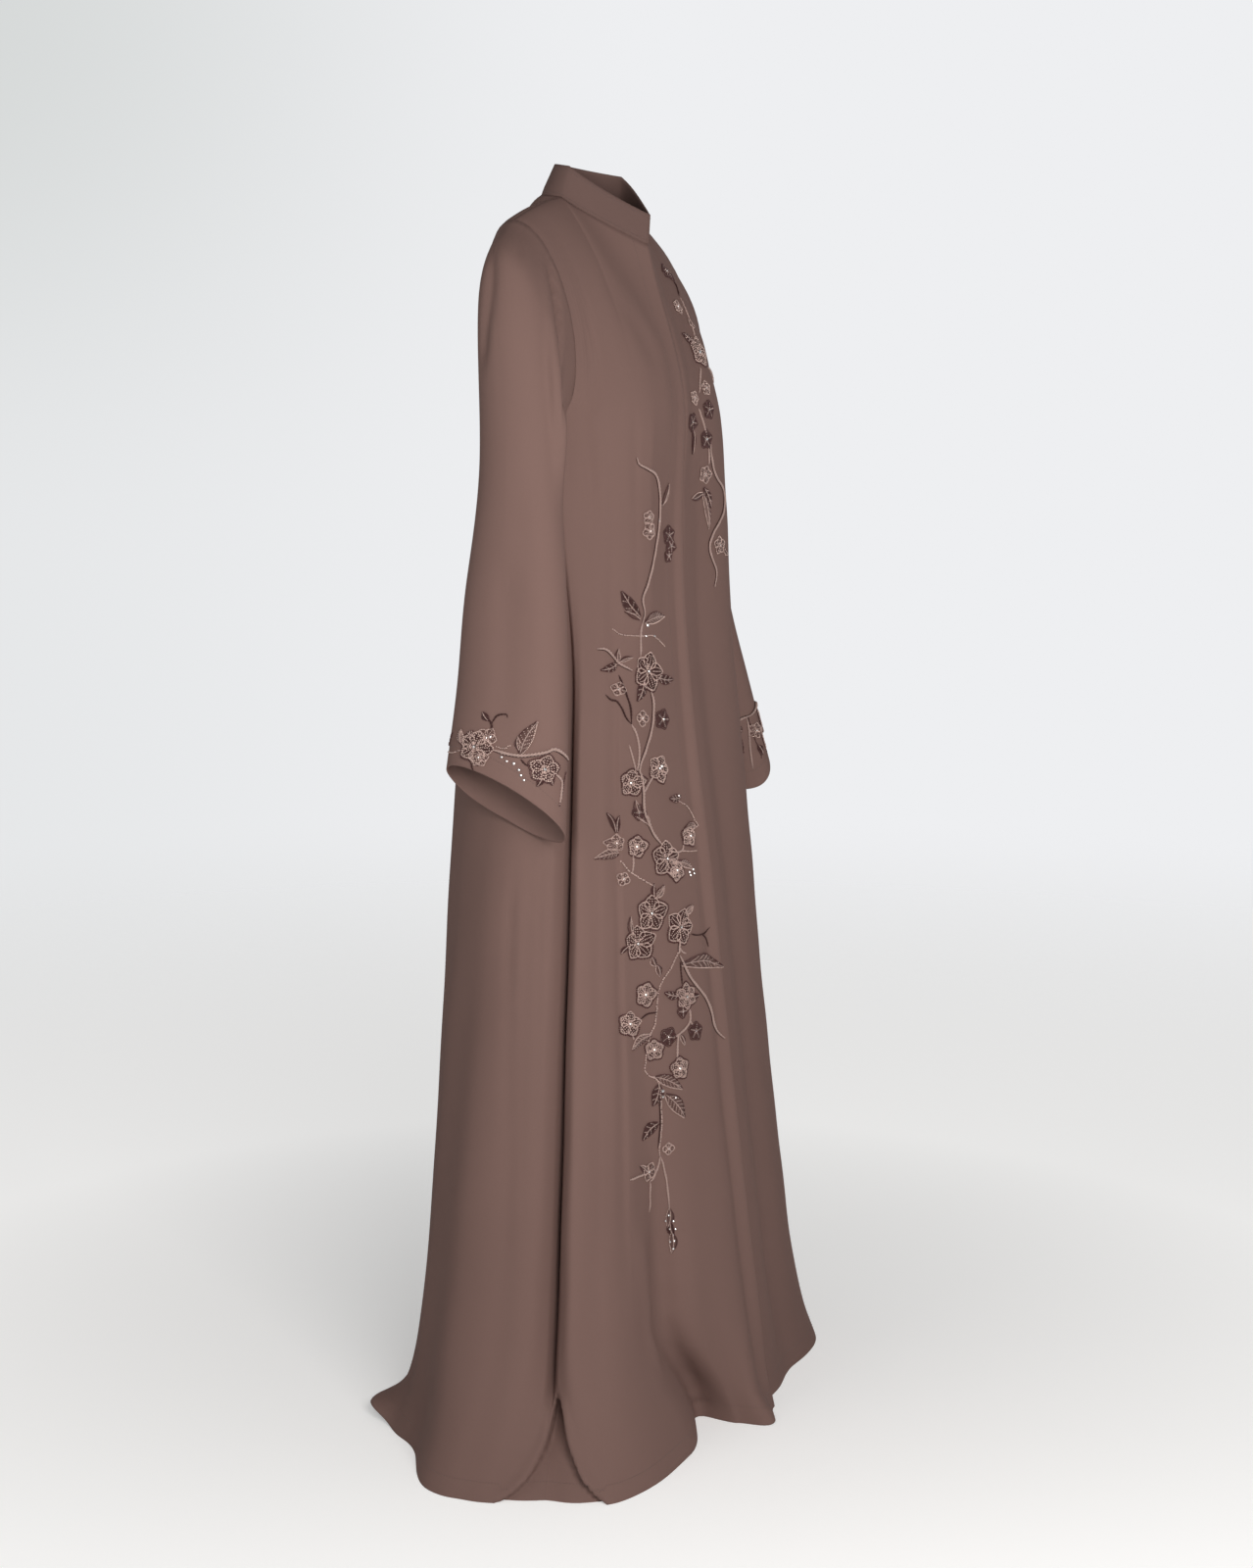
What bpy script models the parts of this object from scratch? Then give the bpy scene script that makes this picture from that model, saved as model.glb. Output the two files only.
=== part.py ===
"""An abaya cloak in the form it takes when it is worn.

The cloak is a long closed-front robe with a stand collar and wide set-in sleeves. It is cut as
six pieces: a back, two fronts, two sleeves and a collar band. Each piece is one cloth wall, and
neighbouring pieces meet at their seams with a hair's gap.

Heights in the tables are above the floor that the hem touches. The model's origin is where the
cloak hangs from its wearer: the middle of the neck, at the height of the high shoulder points.
The front faces -Y and the wearer's right hand is at -X. Angles run round the body in plan from
the centre front: negative to the wearer's right, positive to the left, 180 at the centre back.
"""
from bisect import bisect_right
from collections import namedtuple
import math

import bpy
import numpy as np

# Driving dimensions, in metres.
NECK_POINT_HEIGHT = 1.420
UNDERARM_HEIGHT = 1.170
CLOTH_WALL = 0.002
COLLAR_WALL = 0.0024
SEAM_GAP = 0.0003
LAP_DROP = 0.001
COLLAR_HEIGHT_FRONT = 0.033
COLLAR_HEIGHT_BACK = 0.034
COLLAR_PARTING = 0.0015

# The neckline and the shoulder seams, for the wearer's left half.
NECK_FRONT = np.array((0.0, -0.067, 1.369))
NECK_BACK = np.array((0.0, 0.060, 1.428))
NECK_POINT = np.array((0.074, 0.008, 1.420))
SHOULDER_TIP = np.array((0.165, 0.018, 1.388))
SHOULDER_RISE = 0.003
NECK_POINTEDNESS = 0.6

# Angles that divide the pieces, in degrees.
SIDE_SEAM_ANGLE = 72.0
UNDERARM_SWING = -7.0
UNDERARM_SWING_WIDTH = 40.0
UNDERARM_SWING_HEIGHTS = (0.85, 1.17)
NECK_COLUMN_ANGLE_FRONT = 40.0
NECK_COLUMN_ANGLE_BACK = 138.0
OVERLAP_ANGLE_RIGHT = 2.0
OVERLAP_ANGLE_LEFT = -7.0
TUCK_DEPTH = 0.0032
TUCK_ANGLES = (2.5, 8.0)

# How far two pieces' walls agree at a seam, from parted (low) to shared (high), as a cosine.
OPEN_SEAM = (0.35, 0.75)

# Mesh divisions.
NECK_COLUMNS_FRONT = 12
NECK_COLUMNS_BACK = 9
SHOULDER_COLUMNS = 16
YOKE_SHARES = (0.955, 0.89, 0.79, 0.68, 0.565, 0.45, 0.335, 0.22, 0.11, 0.0)
SLEEVE_ROWS = 14
COLLAR_ROWS = 2
ROW_HEIGHTS = (
    0.0, 0.010, 0.025, 0.045, 0.075, 0.115, 0.165, 0.235, 0.325, 0.43, 0.55, 0.68, 0.81, 0.94,
    1.06, 1.17,
)

# Rings round the body: half widths to each side, depths to front and back, and how square the
# ring is at the right front, the left front and the back (2 is an ellipse).
Section = namedtuple(
    "Section", "height right left front back right_square left_square back_square"
)
SECTIONS = (
    Section(0.000, 0.366, 0.335, 0.227, 0.182, 2.0, 2.1, 2.2),
    Section(0.045, 0.343, 0.314, 0.218, 0.162, 2.0, 2.1, 2.2),
    Section(0.120, 0.324, 0.300, 0.209, 0.152, 2.0, 2.1, 2.2),
    Section(0.260, 0.294, 0.282, 0.191, 0.146, 2.0, 2.2, 2.2),
    Section(0.500, 0.248, 0.246, 0.162, 0.143, 2.0, 2.4, 2.2),
    Section(0.640, 0.224, 0.222, 0.146, 0.141, 1.9, 2.6, 2.2),
    Section(0.790, 0.206, 0.202, 0.126, 0.134, 1.85, 2.8, 2.2),
    Section(0.950, 0.188, 0.187, 0.109, 0.121, 1.8, 3.1, 2.2),
    Section(1.070, 0.178, 0.178, 0.106, 0.109, 1.85, 3.2, 2.4),
    Section(1.170, 0.172, 0.172, 0.111, 0.100, 2.0, 2.9, 2.5),
    Section(1.250, 0.169, 0.169, 0.108, 0.098, 2.3, 2.9, 2.5),
)

# Folds hang from the bust, the shoulder blades and the hips. Each row gives a fold's depth at the
# heights in FOLD_HEIGHTS: a flute is positive and a groove is negative. Above the bust it is gone.
# Slides carry the cloth sideways, in degrees, over a wider stretch than the fold itself.
FOLD_HEIGHTS = (0.0, 0.15, 0.45, 0.80, 1.05, 1.28)
HEM_ZONE = 0.15
SLIDE_HEIGHTS = (0.75, 1.05)
SLIDE_SPREAD = 2.2
Fold = namedtuple("Fold", "name angle width hem_width hem low middle hip bust slide hem_slide")
RIGHT_SIDE_FOLDS = (
    Fold("side_crease", -72.0, 5.5, 12.0, -0.006, -0.040, -0.036, -0.014, 0.0, 0.8, 0.5),
    Fold("front_lip", -66.0, 6.0, 6.0, 0.006, 0.010, 0.009, 0.003, 0.0, -2.0, 0.5),
    Fold("front_flute", -60.0, 18.0, 20.0, 0.072, 0.024, 0.012, 0.004, 0.0, 0.0, 0.0),
    Fold("back_lip", -78.0, 6.0, 6.0, 0.006, 0.008, 0.006, 0.002, 0.0, 1.0, 0.0),
    Fold("back_flute", -86.0, 16.0, 17.0, 0.026, 0.010, 0.006, 0.003, 0.0, 0.0, 0.0),
    Fold("bust_flute", -40.0, 26.0, 22.0, 0.000, 0.002, 0.004, 0.006, 0.008, 0.0, 0.0),
)
LEFT_SIDE_FOLDS = (
    Fold("side_crease", 72.0, 6.0, 10.0, -0.020, -0.034, -0.028, -0.010, 0.0, -0.8, 0.0),
    Fold("front_lip", 65.0, 7.0, 7.0, 0.004, 0.008, 0.007, 0.002, 0.0, 1.5, 0.0),
    Fold("back_lip", 79.0, 7.0, 7.0, 0.006, 0.008, 0.006, 0.002, 0.0, -1.0, 0.0),
    Fold("back_flute", 88.0, 16.0, 16.0, 0.022, 0.010, 0.006, 0.003, 0.0, 0.0, 0.0),
    Fold("bust_flute", 48.0, 24.0, 22.0, 0.022, 0.012, 0.009, 0.018, 0.017, 0.0, 0.0),
)
FRONT_RIGHT_FOLDS = (
    Fold("groove", -35.0, 12.0, 11.0, -0.050, -0.022, -0.006, 0.0, 0.0, -10.0, 10.0),
    Fold("centre_flute", -13.0, 13.0, 14.0, 0.034, 0.010, 0.004, 0.0, 0.0, 0.0, 0.0),
    Fold("centre_edge", 1.0, 12.0, 12.0, 0.018, 0.006, 0.002, 0.0, 0.0, 0.0, -4.0),
    Fold("soft_line", -54.0, 6.0, 6.0, 0.0, -0.002, -0.004, -0.003, 0.0, 0.0, 0.0),
)
FRONT_LEFT_FOLDS = (
    Fold("groove", 24.0, 12.0, 12.0, -0.004, -0.012, -0.007, -0.003, 0.0, 0.0, 0.0),
)
BACK_FOLDS = (
    Fold("right_hip_groove", 256.0, 11.0, 13.0, -0.026, -0.012, -0.006, 0.0, 0.0, 0.0, 0.0),
    Fold("right_blade_flute", 233.0, 14.0, 12.0, 0.018, 0.010, 0.007, 0.006, 0.004, 0.0, 0.0),
    Fold("right_blade_groove", 212.0, 13.0, 12.0, -0.030, -0.020, -0.014, -0.010, -0.003, 0.0, 0.0),
    Fold("right_centre_flute", 194.0, 11.0, 11.0, 0.026, 0.014, 0.010, 0.005, 0.0, 0.0, 0.0),
    Fold("centre_groove", 176.0, 10.0, 10.0, -0.024, -0.014, -0.009, -0.005, 0.0, 0.0, 0.0),
    Fold("left_centre_flute", 160.0, 11.0, 11.0, 0.024, 0.014, 0.011, 0.006, 0.002, 0.0, 0.0),
    Fold("left_blade_groove", 142.0, 12.0, 12.0, -0.028, -0.018, -0.013, -0.009, -0.003, 0.0, 0.0),
    Fold("left_blade_flute", 124.0, 13.0, 12.0, 0.020, 0.012, 0.008, 0.006, 0.004, 0.0, 0.0),
    Fold("left_hip_groove", 104.0, 9.0, 9.0, -0.018, -0.010, -0.005, 0.0, 0.0, 0.0, 0.0),
)

# Where the hem leaves the ring: how far it reaches out and how far it lifts off the floor.
HEM_CURL_ZONE = 0.04
Curl = namedtuple("Curl", "name angle width reach lift")
CURLS = (
    Curl("back_tip", 235.0, 12.0, 0.022, 0.016),
    Curl("left_tip", 120.0, 14.0, 0.016, 0.010),
)

# The tangents of the yoke's lines where they leave the neckline and shoulder, per half.
YOKE_LEAVE_CENTRE = {"front": (0.0, -0.045, -0.210), "back": (0.0, 0.080, -0.160)}
YOKE_LEAVE_NECK_POINT = {"front": (0.040, -0.080, -0.045), "back": (0.050, 0.190, -0.010)}
YOKE_LEAVE_TIP = {"front": (-0.050, -0.180, -0.010), "back": (-0.050, 0.230, -0.010)}
ARMHOLE_RUN = {"front": 0.165, "back": 0.140}
ARMHOLE_SHARE_START = 0.55

# Rings along the right sleeve: the centre, the reach to the outer line and to the front line.
SleeveRing = namedtuple("SleeveRing", "name centre outward forward")
SLEEVE_RINGS_RIGHT = (
    SleeveRing("upper_arm", (-0.2045, -0.014, 1.236), (-0.024, 0.017, 0.098), (0.0, -0.043, 0.010)),
    SleeveRing("biceps", (-0.2180, -0.021, 1.100), (-0.034, 0.0, 0.030), (0.0, -0.048, 0.0)),
    SleeveRing("elbow", (-0.2330, -0.022, 0.970), (-0.034, 0.0, 0.015), (0.0, -0.061, -0.005)),
    SleeveRing("forearm", (-0.2440, -0.0235, 0.860), (-0.034, 0.0, 0.022), (0.0, -0.067, -0.015)),
    SleeveRing("cuff", (-0.2570, -0.022, 0.750), (-0.036, 0.0, 0.034), (0.004, -0.071, -0.027)),
)
SLEEVE_RINGS_LEFT = (
    SleeveRing("upper_arm", (0.2045, 0.004, 1.236), (0.024, 0.018, 0.094), (0.0, -0.046, 0.010)),
    SleeveRing("biceps", (0.2180, 0.002, 1.100), (0.034, 0.0, 0.030), (0.0, -0.050, 0.0)),
    SleeveRing("elbow", (0.2310, 0.000, 0.970), (0.034, 0.0, 0.015), (0.0, -0.060, -0.005)),
    SleeveRing("forearm", (0.2430, -0.018, 0.860), (0.034, 0.0, 0.022), (0.0, -0.066, -0.015)),
    SleeveRing("cuff", (0.2570, -0.044, 0.750), (0.036, 0.0, 0.034), (-0.004, -0.070, -0.027)),
)
# Folds along a sleeve: angle from the outer line towards the front, and the stretch it fills.
SleeveFold = namedtuple("SleeveFold", "name angle width depth start end")
SLEEVE_FOLDS = (
    SleeveFold("front_hollow", 122.0, 26.0, -0.010, 0.05, 0.55),
    SleeveFold("back_hollow", 238.0, 26.0, -0.008, 0.05, 0.60),
    SleeveFold("cuff_wave", 200.0, 40.0, -0.006, 0.55, 1.20),
)


def ease(value):
    """Pass smoothly from 0 to 1 as the value does."""
    t = min(max(value, 0.0), 1.0)
    return t * t * (3.0 - 2.0 * t)


def hump(offset, width):
    """Give 1 at no offset and fall to 0 at the width."""
    t = abs(offset) / width
    return math.cos(t * math.pi / 2.0) ** 2 if t < 1.0 else 0.0


def turn_between(angle, centre):
    """Give the signed turn from a centre angle to an angle, in degrees."""
    return (angle - centre + 180.0) % 360.0 - 180.0


def smooth_value(knots, values, at):
    """Read a smooth curve through rising knots."""
    at = min(max(at, knots[0]), knots[-1])
    i = min(max(bisect_right(knots, at) - 1, 0), len(knots) - 2)
    step = knots[i + 1] - knots[i]
    t = (at - knots[i]) / step

    def slope(k):
        low, high = max(k - 1, 0), min(k + 1, len(knots) - 1)
        return (values[high] - values[low]) / (knots[high] - knots[low])

    return (
        (2 * t**3 - 3 * t**2 + 1) * values[i]
        + (t**3 - 2 * t**2 + t) * step * slope(i)
        + (3 * t**2 - 2 * t**3) * values[i + 1]
        + (t**3 - t**2) * step * slope(i + 1)
    )


SECTION_HEIGHTS = [row.height for row in SECTIONS]


def section_value(column, height):
    """Read one column of the section table at a height."""
    return smooth_value(SECTION_HEIGHTS, [getattr(row, column) for row in SECTIONS], height)


def ring_radius(angle, height):
    """Give the plain body ring's radius in plan."""
    turn = math.radians(angle)
    across, along = math.sin(turn), math.cos(turn)
    side = "left" if across > 0 else "right"
    face = "front" if along > 0 else "back"
    width = section_value(side, height)
    depth = section_value(face, height)
    blend = ease((along + 0.25) / 0.5)
    square = (
        section_value(side + "_square", height) * blend
        + section_value("back_square", height) * (1.0 - blend)
    )
    return ((abs(across) / width) ** square + (abs(along) / depth) ** square) ** (-1.0 / square)


def fold_shift(folds, angle, height):
    """Add up what the folds do at an angle: radial depth, and slide in degrees."""
    depth = 0.0
    slide = 0.0
    hem_share = ease((HEM_ZONE - height) / HEM_ZONE)
    low, high = SLIDE_HEIGHTS
    slide_share = ease((high - height) / (high - low)) * (1.0 - hem_share)
    for fold in folds:
        width = fold.width + (fold.hem_width - fold.width) * hem_share
        turn = turn_between(angle, fold.angle)
        depths = (fold.hem, fold.low, fold.middle, fold.hip, fold.bust, 0.0)
        depth += hump(turn, width) * smooth_value(FOLD_HEIGHTS, depths, height)
        carried = fold.slide * slide_share + fold.hem_slide * hem_share
        slide += hump(turn, width * SLIDE_SPREAD) * carried
    return depth, slide


def body_point(angle, height, folds, tuck=0.0):
    """Give a point of the cloak's body below the underarm."""
    depth, slide = fold_shift(folds, angle, height)
    low, high = UNDERARM_SWING_HEIGHTS
    swing = UNDERARM_SWING * ease((height - low) / (high - low))
    for seam in (SIDE_SEAM_ANGLE, -SIDE_SEAM_ANGLE):
        near = hump(turn_between(angle, seam), UNDERARM_SWING_WIDTH)
        slide -= math.copysign(1.0, seam) * swing * near
    lift = 0.0
    curl_share = ease((HEM_CURL_ZONE - height) / HEM_CURL_ZONE)
    for curl in CURLS:
        near = hump(turn_between(angle, curl.angle), curl.width)
        depth += curl.reach * near * curl_share
        lift += curl.lift * near * curl_share**2
    radius = ring_radius(angle + slide, height) + depth - tuck
    turn = math.radians(angle + slide)
    return np.array((radius * math.sin(turn), -radius * math.cos(turn), height + lift))


def top_point(face, share, on_neck):
    """Give a point of the left half's neckline or shoulder seam, and its leaving tangent."""
    leave_neck_point = np.array(YOKE_LEAVE_NECK_POINT[face])
    if on_neck:
        turn = share * math.pi / 2.0
        centre = NECK_FRONT if face == "front" else NECK_BACK
        point_share = NECK_POINTEDNESS if face == "front" else 0.0
        back_off = (1.0 - point_share) * math.cos(turn) + point_share * (1.0 - math.sin(turn))
        point = NECK_POINT + (centre - NECK_POINT) * back_off
        point[0] = NECK_POINT[0] * math.sin(turn)
        leave_centre = np.array(YOKE_LEAVE_CENTRE[face])
        return point, leave_centre + (leave_neck_point - leave_centre) * ease(share)
    point = NECK_POINT + (SHOULDER_TIP - NECK_POINT) * share
    point[2] += SHOULDER_RISE * math.sin(math.pi * share)
    leave_tip = np.array(YOKE_LEAVE_TIP[face])
    return point, leave_neck_point + (leave_tip - leave_neck_point) * share


def yoke_point(column, v, folds):
    """Give a point above the underarm: v runs from the neck and shoulder down to the ring."""
    top, leave = top_point(column.face, abs(column.share), column.on_neck)
    mirror = np.array((column.side, 1.0, 1.0))
    top, leave = top * mirror, leave * mirror
    base = body_point(column.angle, UNDERARM_HEIGHT, folds)
    step = 0.5
    centre = 0.0 if column.face == "front" else 180.0
    toward_seam = math.copysign(step, turn_between(column.seam, centre))
    beside = body_point(column.angle + toward_seam, UNDERARM_HEIGHT, folds)
    round_ring = (beside - base) / max(np.linalg.norm(beside - base), 1e-9)
    below = body_point(column.angle, UNDERARM_HEIGHT - 0.01, folds)
    down = (below - base) / np.linalg.norm(below - base)
    run = ease((column.weight - ARMHOLE_SHARE_START) / (1.0 - ARMHOLE_SHARE_START))
    length = np.linalg.norm(base - top)
    arrive = down * length * (1.0 - 0.9 * run) + round_ring * ARMHOLE_RUN[column.face] * run
    point = (
        (2 * v**3 - 3 * v**2 + 1) * top
        + (v**3 - 2 * v**2 + v) * leave
        + (3 * v**2 - 2 * v**3) * base
        + (v**3 - v**2) * arrive
    )
    return point


Column = namedtuple("Column", "angle side face seam weight on_neck share tuck")


def spread_angles(start, end, count, folds):
    """Space angles so that they lie closer together across folds."""
    samples = np.linspace(start, end, 401)
    dense = [
        1.0 + sum(1.6 * hump(turn_between(a, f.angle), 1.5 * f.width) * min(9.0 / f.width, 1.6)
                  for f in folds)
        for a in samples
    ]
    total = np.concatenate(([0.0], np.cumsum((np.array(dense[1:]) + np.array(dense[:-1])) / 2)))
    return list(np.interp(np.linspace(0.0, total[-1], count + 1), total, samples))


def half_columns(face, side, folds):
    """List a half panel's columns from its centre line to its side seam."""
    if face == "front":
        centre, neck_angle = 0.0, side * NECK_COLUMN_ANGLE_FRONT
        seam, neck_count = side * SIDE_SEAM_ANGLE, NECK_COLUMNS_FRONT
    else:
        centre, neck_angle = 180.0, 180.0 - side * (180.0 - NECK_COLUMN_ANGLE_BACK)
        seam, neck_count = 180.0 - side * (180.0 - SIDE_SEAM_ANGLE), NECK_COLUMNS_BACK
    columns = []
    for angle in spread_angles(centre, neck_angle, neck_count, folds):
        weight = (angle - centre) / (seam - centre)
        share = (angle - centre) / (neck_angle - centre)
        columns.append(Column(angle, side, face, seam, weight, True, share, 0.0))
    for angle in spread_angles(neck_angle, seam, SHOULDER_COLUMNS, folds)[1:]:
        weight = (angle - centre) / (seam - centre)
        share = (angle - neck_angle) / (seam - neck_angle)
        columns.append(Column(angle, side, face, seam, weight, False, share, 0.0))
    return columns


def panel_grid(columns, folds):
    """Lay out a panel's outer points: rows from the hem up, columns round the body."""
    rows = []
    for height in ROW_HEIGHTS:
        rows.append([body_point(c.angle, height, folds, c.tuck) for c in columns])
    for v in YOKE_SHARES:
        row = []
        for c in columns:
            point = yoke_point(c, v, folds)
            flat = np.array((point[0], point[1], 0.0))
            inward = flat / max(np.linalg.norm(flat), 1e-9)
            row.append(point - inward * c.tuck)
        rows.append(row)
    return np.array(rows)


def front_columns(side, folds):
    """List a front's columns from its edge at the centre front to its side seam."""
    columns = half_columns("front", side, folds)
    if side < 0:
        edge_angle = OVERLAP_ANGLE_RIGHT
        share = -edge_angle / NECK_COLUMN_ANGLE_FRONT
        edge = columns[0]._replace(angle=edge_angle, side=1.0, share=share)
        return [edge] + columns
    extra = []
    for angle in (OVERLAP_ANGLE_LEFT, OVERLAP_ANGLE_LEFT / 2.0):
        share = angle / NECK_COLUMN_ANGLE_FRONT
        extra.append(columns[0]._replace(angle=angle, side=-1.0, share=share))
    low, high = TUCK_ANGLES
    return [
        c._replace(tuck=TUCK_DEPTH * (1.0 - ease((c.angle - low) / (high - low))))
        for c in extra + columns
    ]


def back_columns(folds):
    """List the back's columns from the left side seam to the right one."""
    left = half_columns("back", 1.0, folds)
    right = half_columns("back", -1.0, folds)
    return list(reversed(left)) + right[1:]


def armhole_loop(front, back, front_seam_index, back_seam_index):
    """List the armhole's points from the shoulder tip down the front and up the back."""
    underarm = len(ROW_HEIGHTS) - 1
    down_front = [front[r][front_seam_index] for r in range(len(front) - 1, underarm - 1, -1)]
    up_back = [back[r][back_seam_index] for r in range(underarm + 1, len(back) - 1)]
    return np.array(down_front + up_back)


def sleeve_grid(armhole, rings):
    """Lay out a sleeve's outer points: rows from the armhole to the cuff, closed round."""
    steps = np.linalg.norm(np.roll(armhole, -1, axis=0) - armhole, axis=1)
    turns = np.concatenate(([0.0], np.cumsum(steps)[:-1])) / steps.sum() * 2.0 * math.pi
    stations = [armhole]
    for ring in rings:
        centre, outward, forward = (np.array(v) for v in (ring.centre, ring.outward, ring.forward))
        stations.append(np.array([
            centre + outward * math.cos(t) + forward * math.sin(t) for t in turns
        ]))
    stations = np.array(stations)
    reach = np.linalg.norm(np.diff(stations.mean(axis=1), axis=0), axis=1)
    knots = list(np.concatenate(([0.0], np.cumsum(reach))) / reach.sum())
    middles = stations.mean(axis=1)
    rows = []
    for i in range(SLEEVE_ROWS + 1):
        at = i / SLEEVE_ROWS
        middle = smooth_value(knots, list(middles), at)
        row = []
        for j, turn in enumerate(turns):
            point = smooth_value(knots, list(stations[:, j]), at)
            for fold in SLEEVE_FOLDS:
                along = hump(at - (fold.start + fold.end) / 2.0, (fold.end - fold.start) / 2.0)
                near = hump(turn_between(math.degrees(turn), fold.angle), fold.width)
                away = (point - middle) / np.linalg.norm(point - middle)
                point = point + away * fold.depth * near * along
            row.append(point)
        rows.append(row)
    return np.array(rows)


def collar_grid(fronts_and_back):
    """Lay out the collar band's outer points, rows from the neckline up."""
    right_front, back, left_front = fronts_and_back
    neckline = np.array(right_front + back + left_front)
    rows = [neckline]
    rise_share = (neckline[:, 1] - NECK_FRONT[1]) / (NECK_BACK[1] - NECK_FRONT[1])
    for i in range(1, COLLAR_ROWS + 1):
        t = i / COLLAR_ROWS
        row = []
        for point, back_share in zip(neckline, rise_share):
            height = COLLAR_HEIGHT_FRONT + (COLLAR_HEIGHT_BACK - COLLAR_HEIGHT_FRONT) * back_share
            lean = 0.004 + 0.008 * back_share
            flat = np.array((point[0], point[1], 0.0))
            inward = -flat / np.linalg.norm(flat)
            forward = np.array((0.0, -0.006, 0.0))
            row.append(point + np.array((0.0, 0.0, height * t)) + (inward * lean + forward) * t)
        rows.append(row)
    return np.array(rows)


def grid_normals(grid, closed):
    """Work out a unit normal at each grid point from its neighbours."""
    if closed:
        round_step = np.roll(grid, -1, axis=1) - np.roll(grid, 1, axis=1)
    else:
        round_step = np.gradient(grid, axis=1, edge_order=2)
    along_step = np.gradient(grid, axis=0, edge_order=2)
    normals = np.cross(round_step, along_step)
    return normals / np.linalg.norm(normals, axis=2, keepdims=True)


def soften_normals(piece):
    """Even out the normals inside a piece, so that its wall stays whole in tight bends."""
    normals = piece["normals"]
    inside = normals[1:-1, 1:-1]
    inside = inside + 0.5 * (
        normals[:-2, 1:-1] + normals[2:, 1:-1] + normals[1:-1, :-2] + normals[1:-1, 2:]
    )
    normals[1:-1, 1:-1] = inside / np.linalg.norm(inside, axis=2, keepdims=True)


def level_shoulder_normals(piece):
    """Let the cloth cross the shoulder seams level from front to back."""
    across, _, drop = SHOULDER_TIP - NECK_POINT
    level = np.array((-drop, 0.0, across)) / math.hypot(across, drop)
    for c, point in enumerate(piece["grid"][-1]):
        if abs(point[0]) > NECK_POINT[0] - 0.0001:
            piece["normals"][-1][c] = level * np.array((math.copysign(1.0, point[0]), 1.0, 1.0))


def square_collar_ends(piece):
    """Cut the collar's two ends straight, so that they stand side by side."""
    for c in (0, -1):
        piece["normals"][:, c, 0] = 0.0
        piece["normals"][:, c] /= np.linalg.norm(piece["normals"][:, c], axis=1, keepdims=True)


def piece_kind(name):
    """Sort the pieces into body, sleeve and collar."""
    return name.split("_")[0].replace("front", "body").replace("back", "body")


def share_seam_normals(pieces):
    """Give seam points that two or more pieces share one normal, the mean of theirs.

    Where a seam folds back on itself the walls part inside, and each keeps its own normal.
    """
    groups = {}
    for name, piece in pieces.items():
        rows, columns = piece["grid"].shape[:2]
        for r in range(rows):
            for c in range(columns):
                on_edge = r in (0, rows - 1) or (not piece["closed"] and c in (0, columns - 1))
                if on_edge:
                    key = tuple(np.round(piece["grid"][r][c], 6))
                    groups.setdefault(key, []).append((name, r, c))
    for members in groups.values():
        if len(members) < 2:
            continue
        by_kind = {}
        for name, r, c in members:
            by_kind.setdefault(piece_kind(name), []).append(pieces[name]["normals"][r][c])
        means = {kind: np.sum(group, axis=0) for kind, group in by_kind.items()}
        means = {kind: mean / np.linalg.norm(mean) for kind, mean in means.items()}
        if "collar" in means:
            means["body"] = np.array((0.0, 0.0, 1.0))
        total = sum(means.values())
        total = total / np.linalg.norm(total)
        for name, r, c in members:
            pieces[name]["seam_normals"][r][c] = total
            own = means[piece_kind(name)]
            level = min(np.dot(mean, total) for mean in means.values())
            shared = ease((level - OPEN_SEAM[0]) / (OPEN_SEAM[1] - OPEN_SEAM[0]))
            mixed = own + (total - own) * shared
            pieces[name]["normals"][r][c] = mixed / np.linalg.norm(mixed)


def match_lap(piece):
    """Let the lap's upper corner follow the neckline beside it, just under the collar's end."""
    for c, beside in ((0, 1), (-1, -2)):
        if piece["grid"][-1][c][0] > 0.0:
            for kind in ("normals", "seam_normals"):
                piece[kind][-1][c] = piece[kind][-1][beside] * np.array((-1.0, 1.0, 1.0))
            piece["grid"][-1][c][2] -= LAP_DROP


def trim_edge(piece, edge, gap):
    """Draw one edge of a piece back from its seam."""
    grid, normals = piece["grid"], piece["seam_normals"]
    if edge in ("first_row", "last_row"):
        r, inner = (0, 1) if edge == "first_row" else (-1, -2)
        line, inside, normal = grid[r], grid[inner], normals[r]
    else:
        c, inner = (0, 1) if edge == "first_column" else (-1, -2)
        line, inside, normal = grid[:, c], grid[:, inner], normals[:, c]
    if piece["closed"]:
        tangent = np.roll(line, -1, axis=0) - np.roll(line, 1, axis=0)
    else:
        tangent = np.gradient(line, axis=0)
    across = np.cross(normal, tangent)
    across /= np.linalg.norm(across, axis=1, keepdims=True)
    sign = np.sign(np.sum(across * (inside - line), axis=1, keepdims=True))
    piece["shift"][edge] = across * sign * gap


def apply_trims(piece):
    """Move the edge points of a piece by its trims."""
    grid = piece["grid"]
    moved = grid.copy()
    for edge, shift in piece["shift"].items():
        if edge == "first_row":
            moved[0] += shift
        elif edge == "last_row":
            moved[-1] += shift
        elif edge == "first_column":
            moved[:, 0] += shift
        else:
            moved[:, -1] += shift
    piece["grid"] = moved


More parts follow.
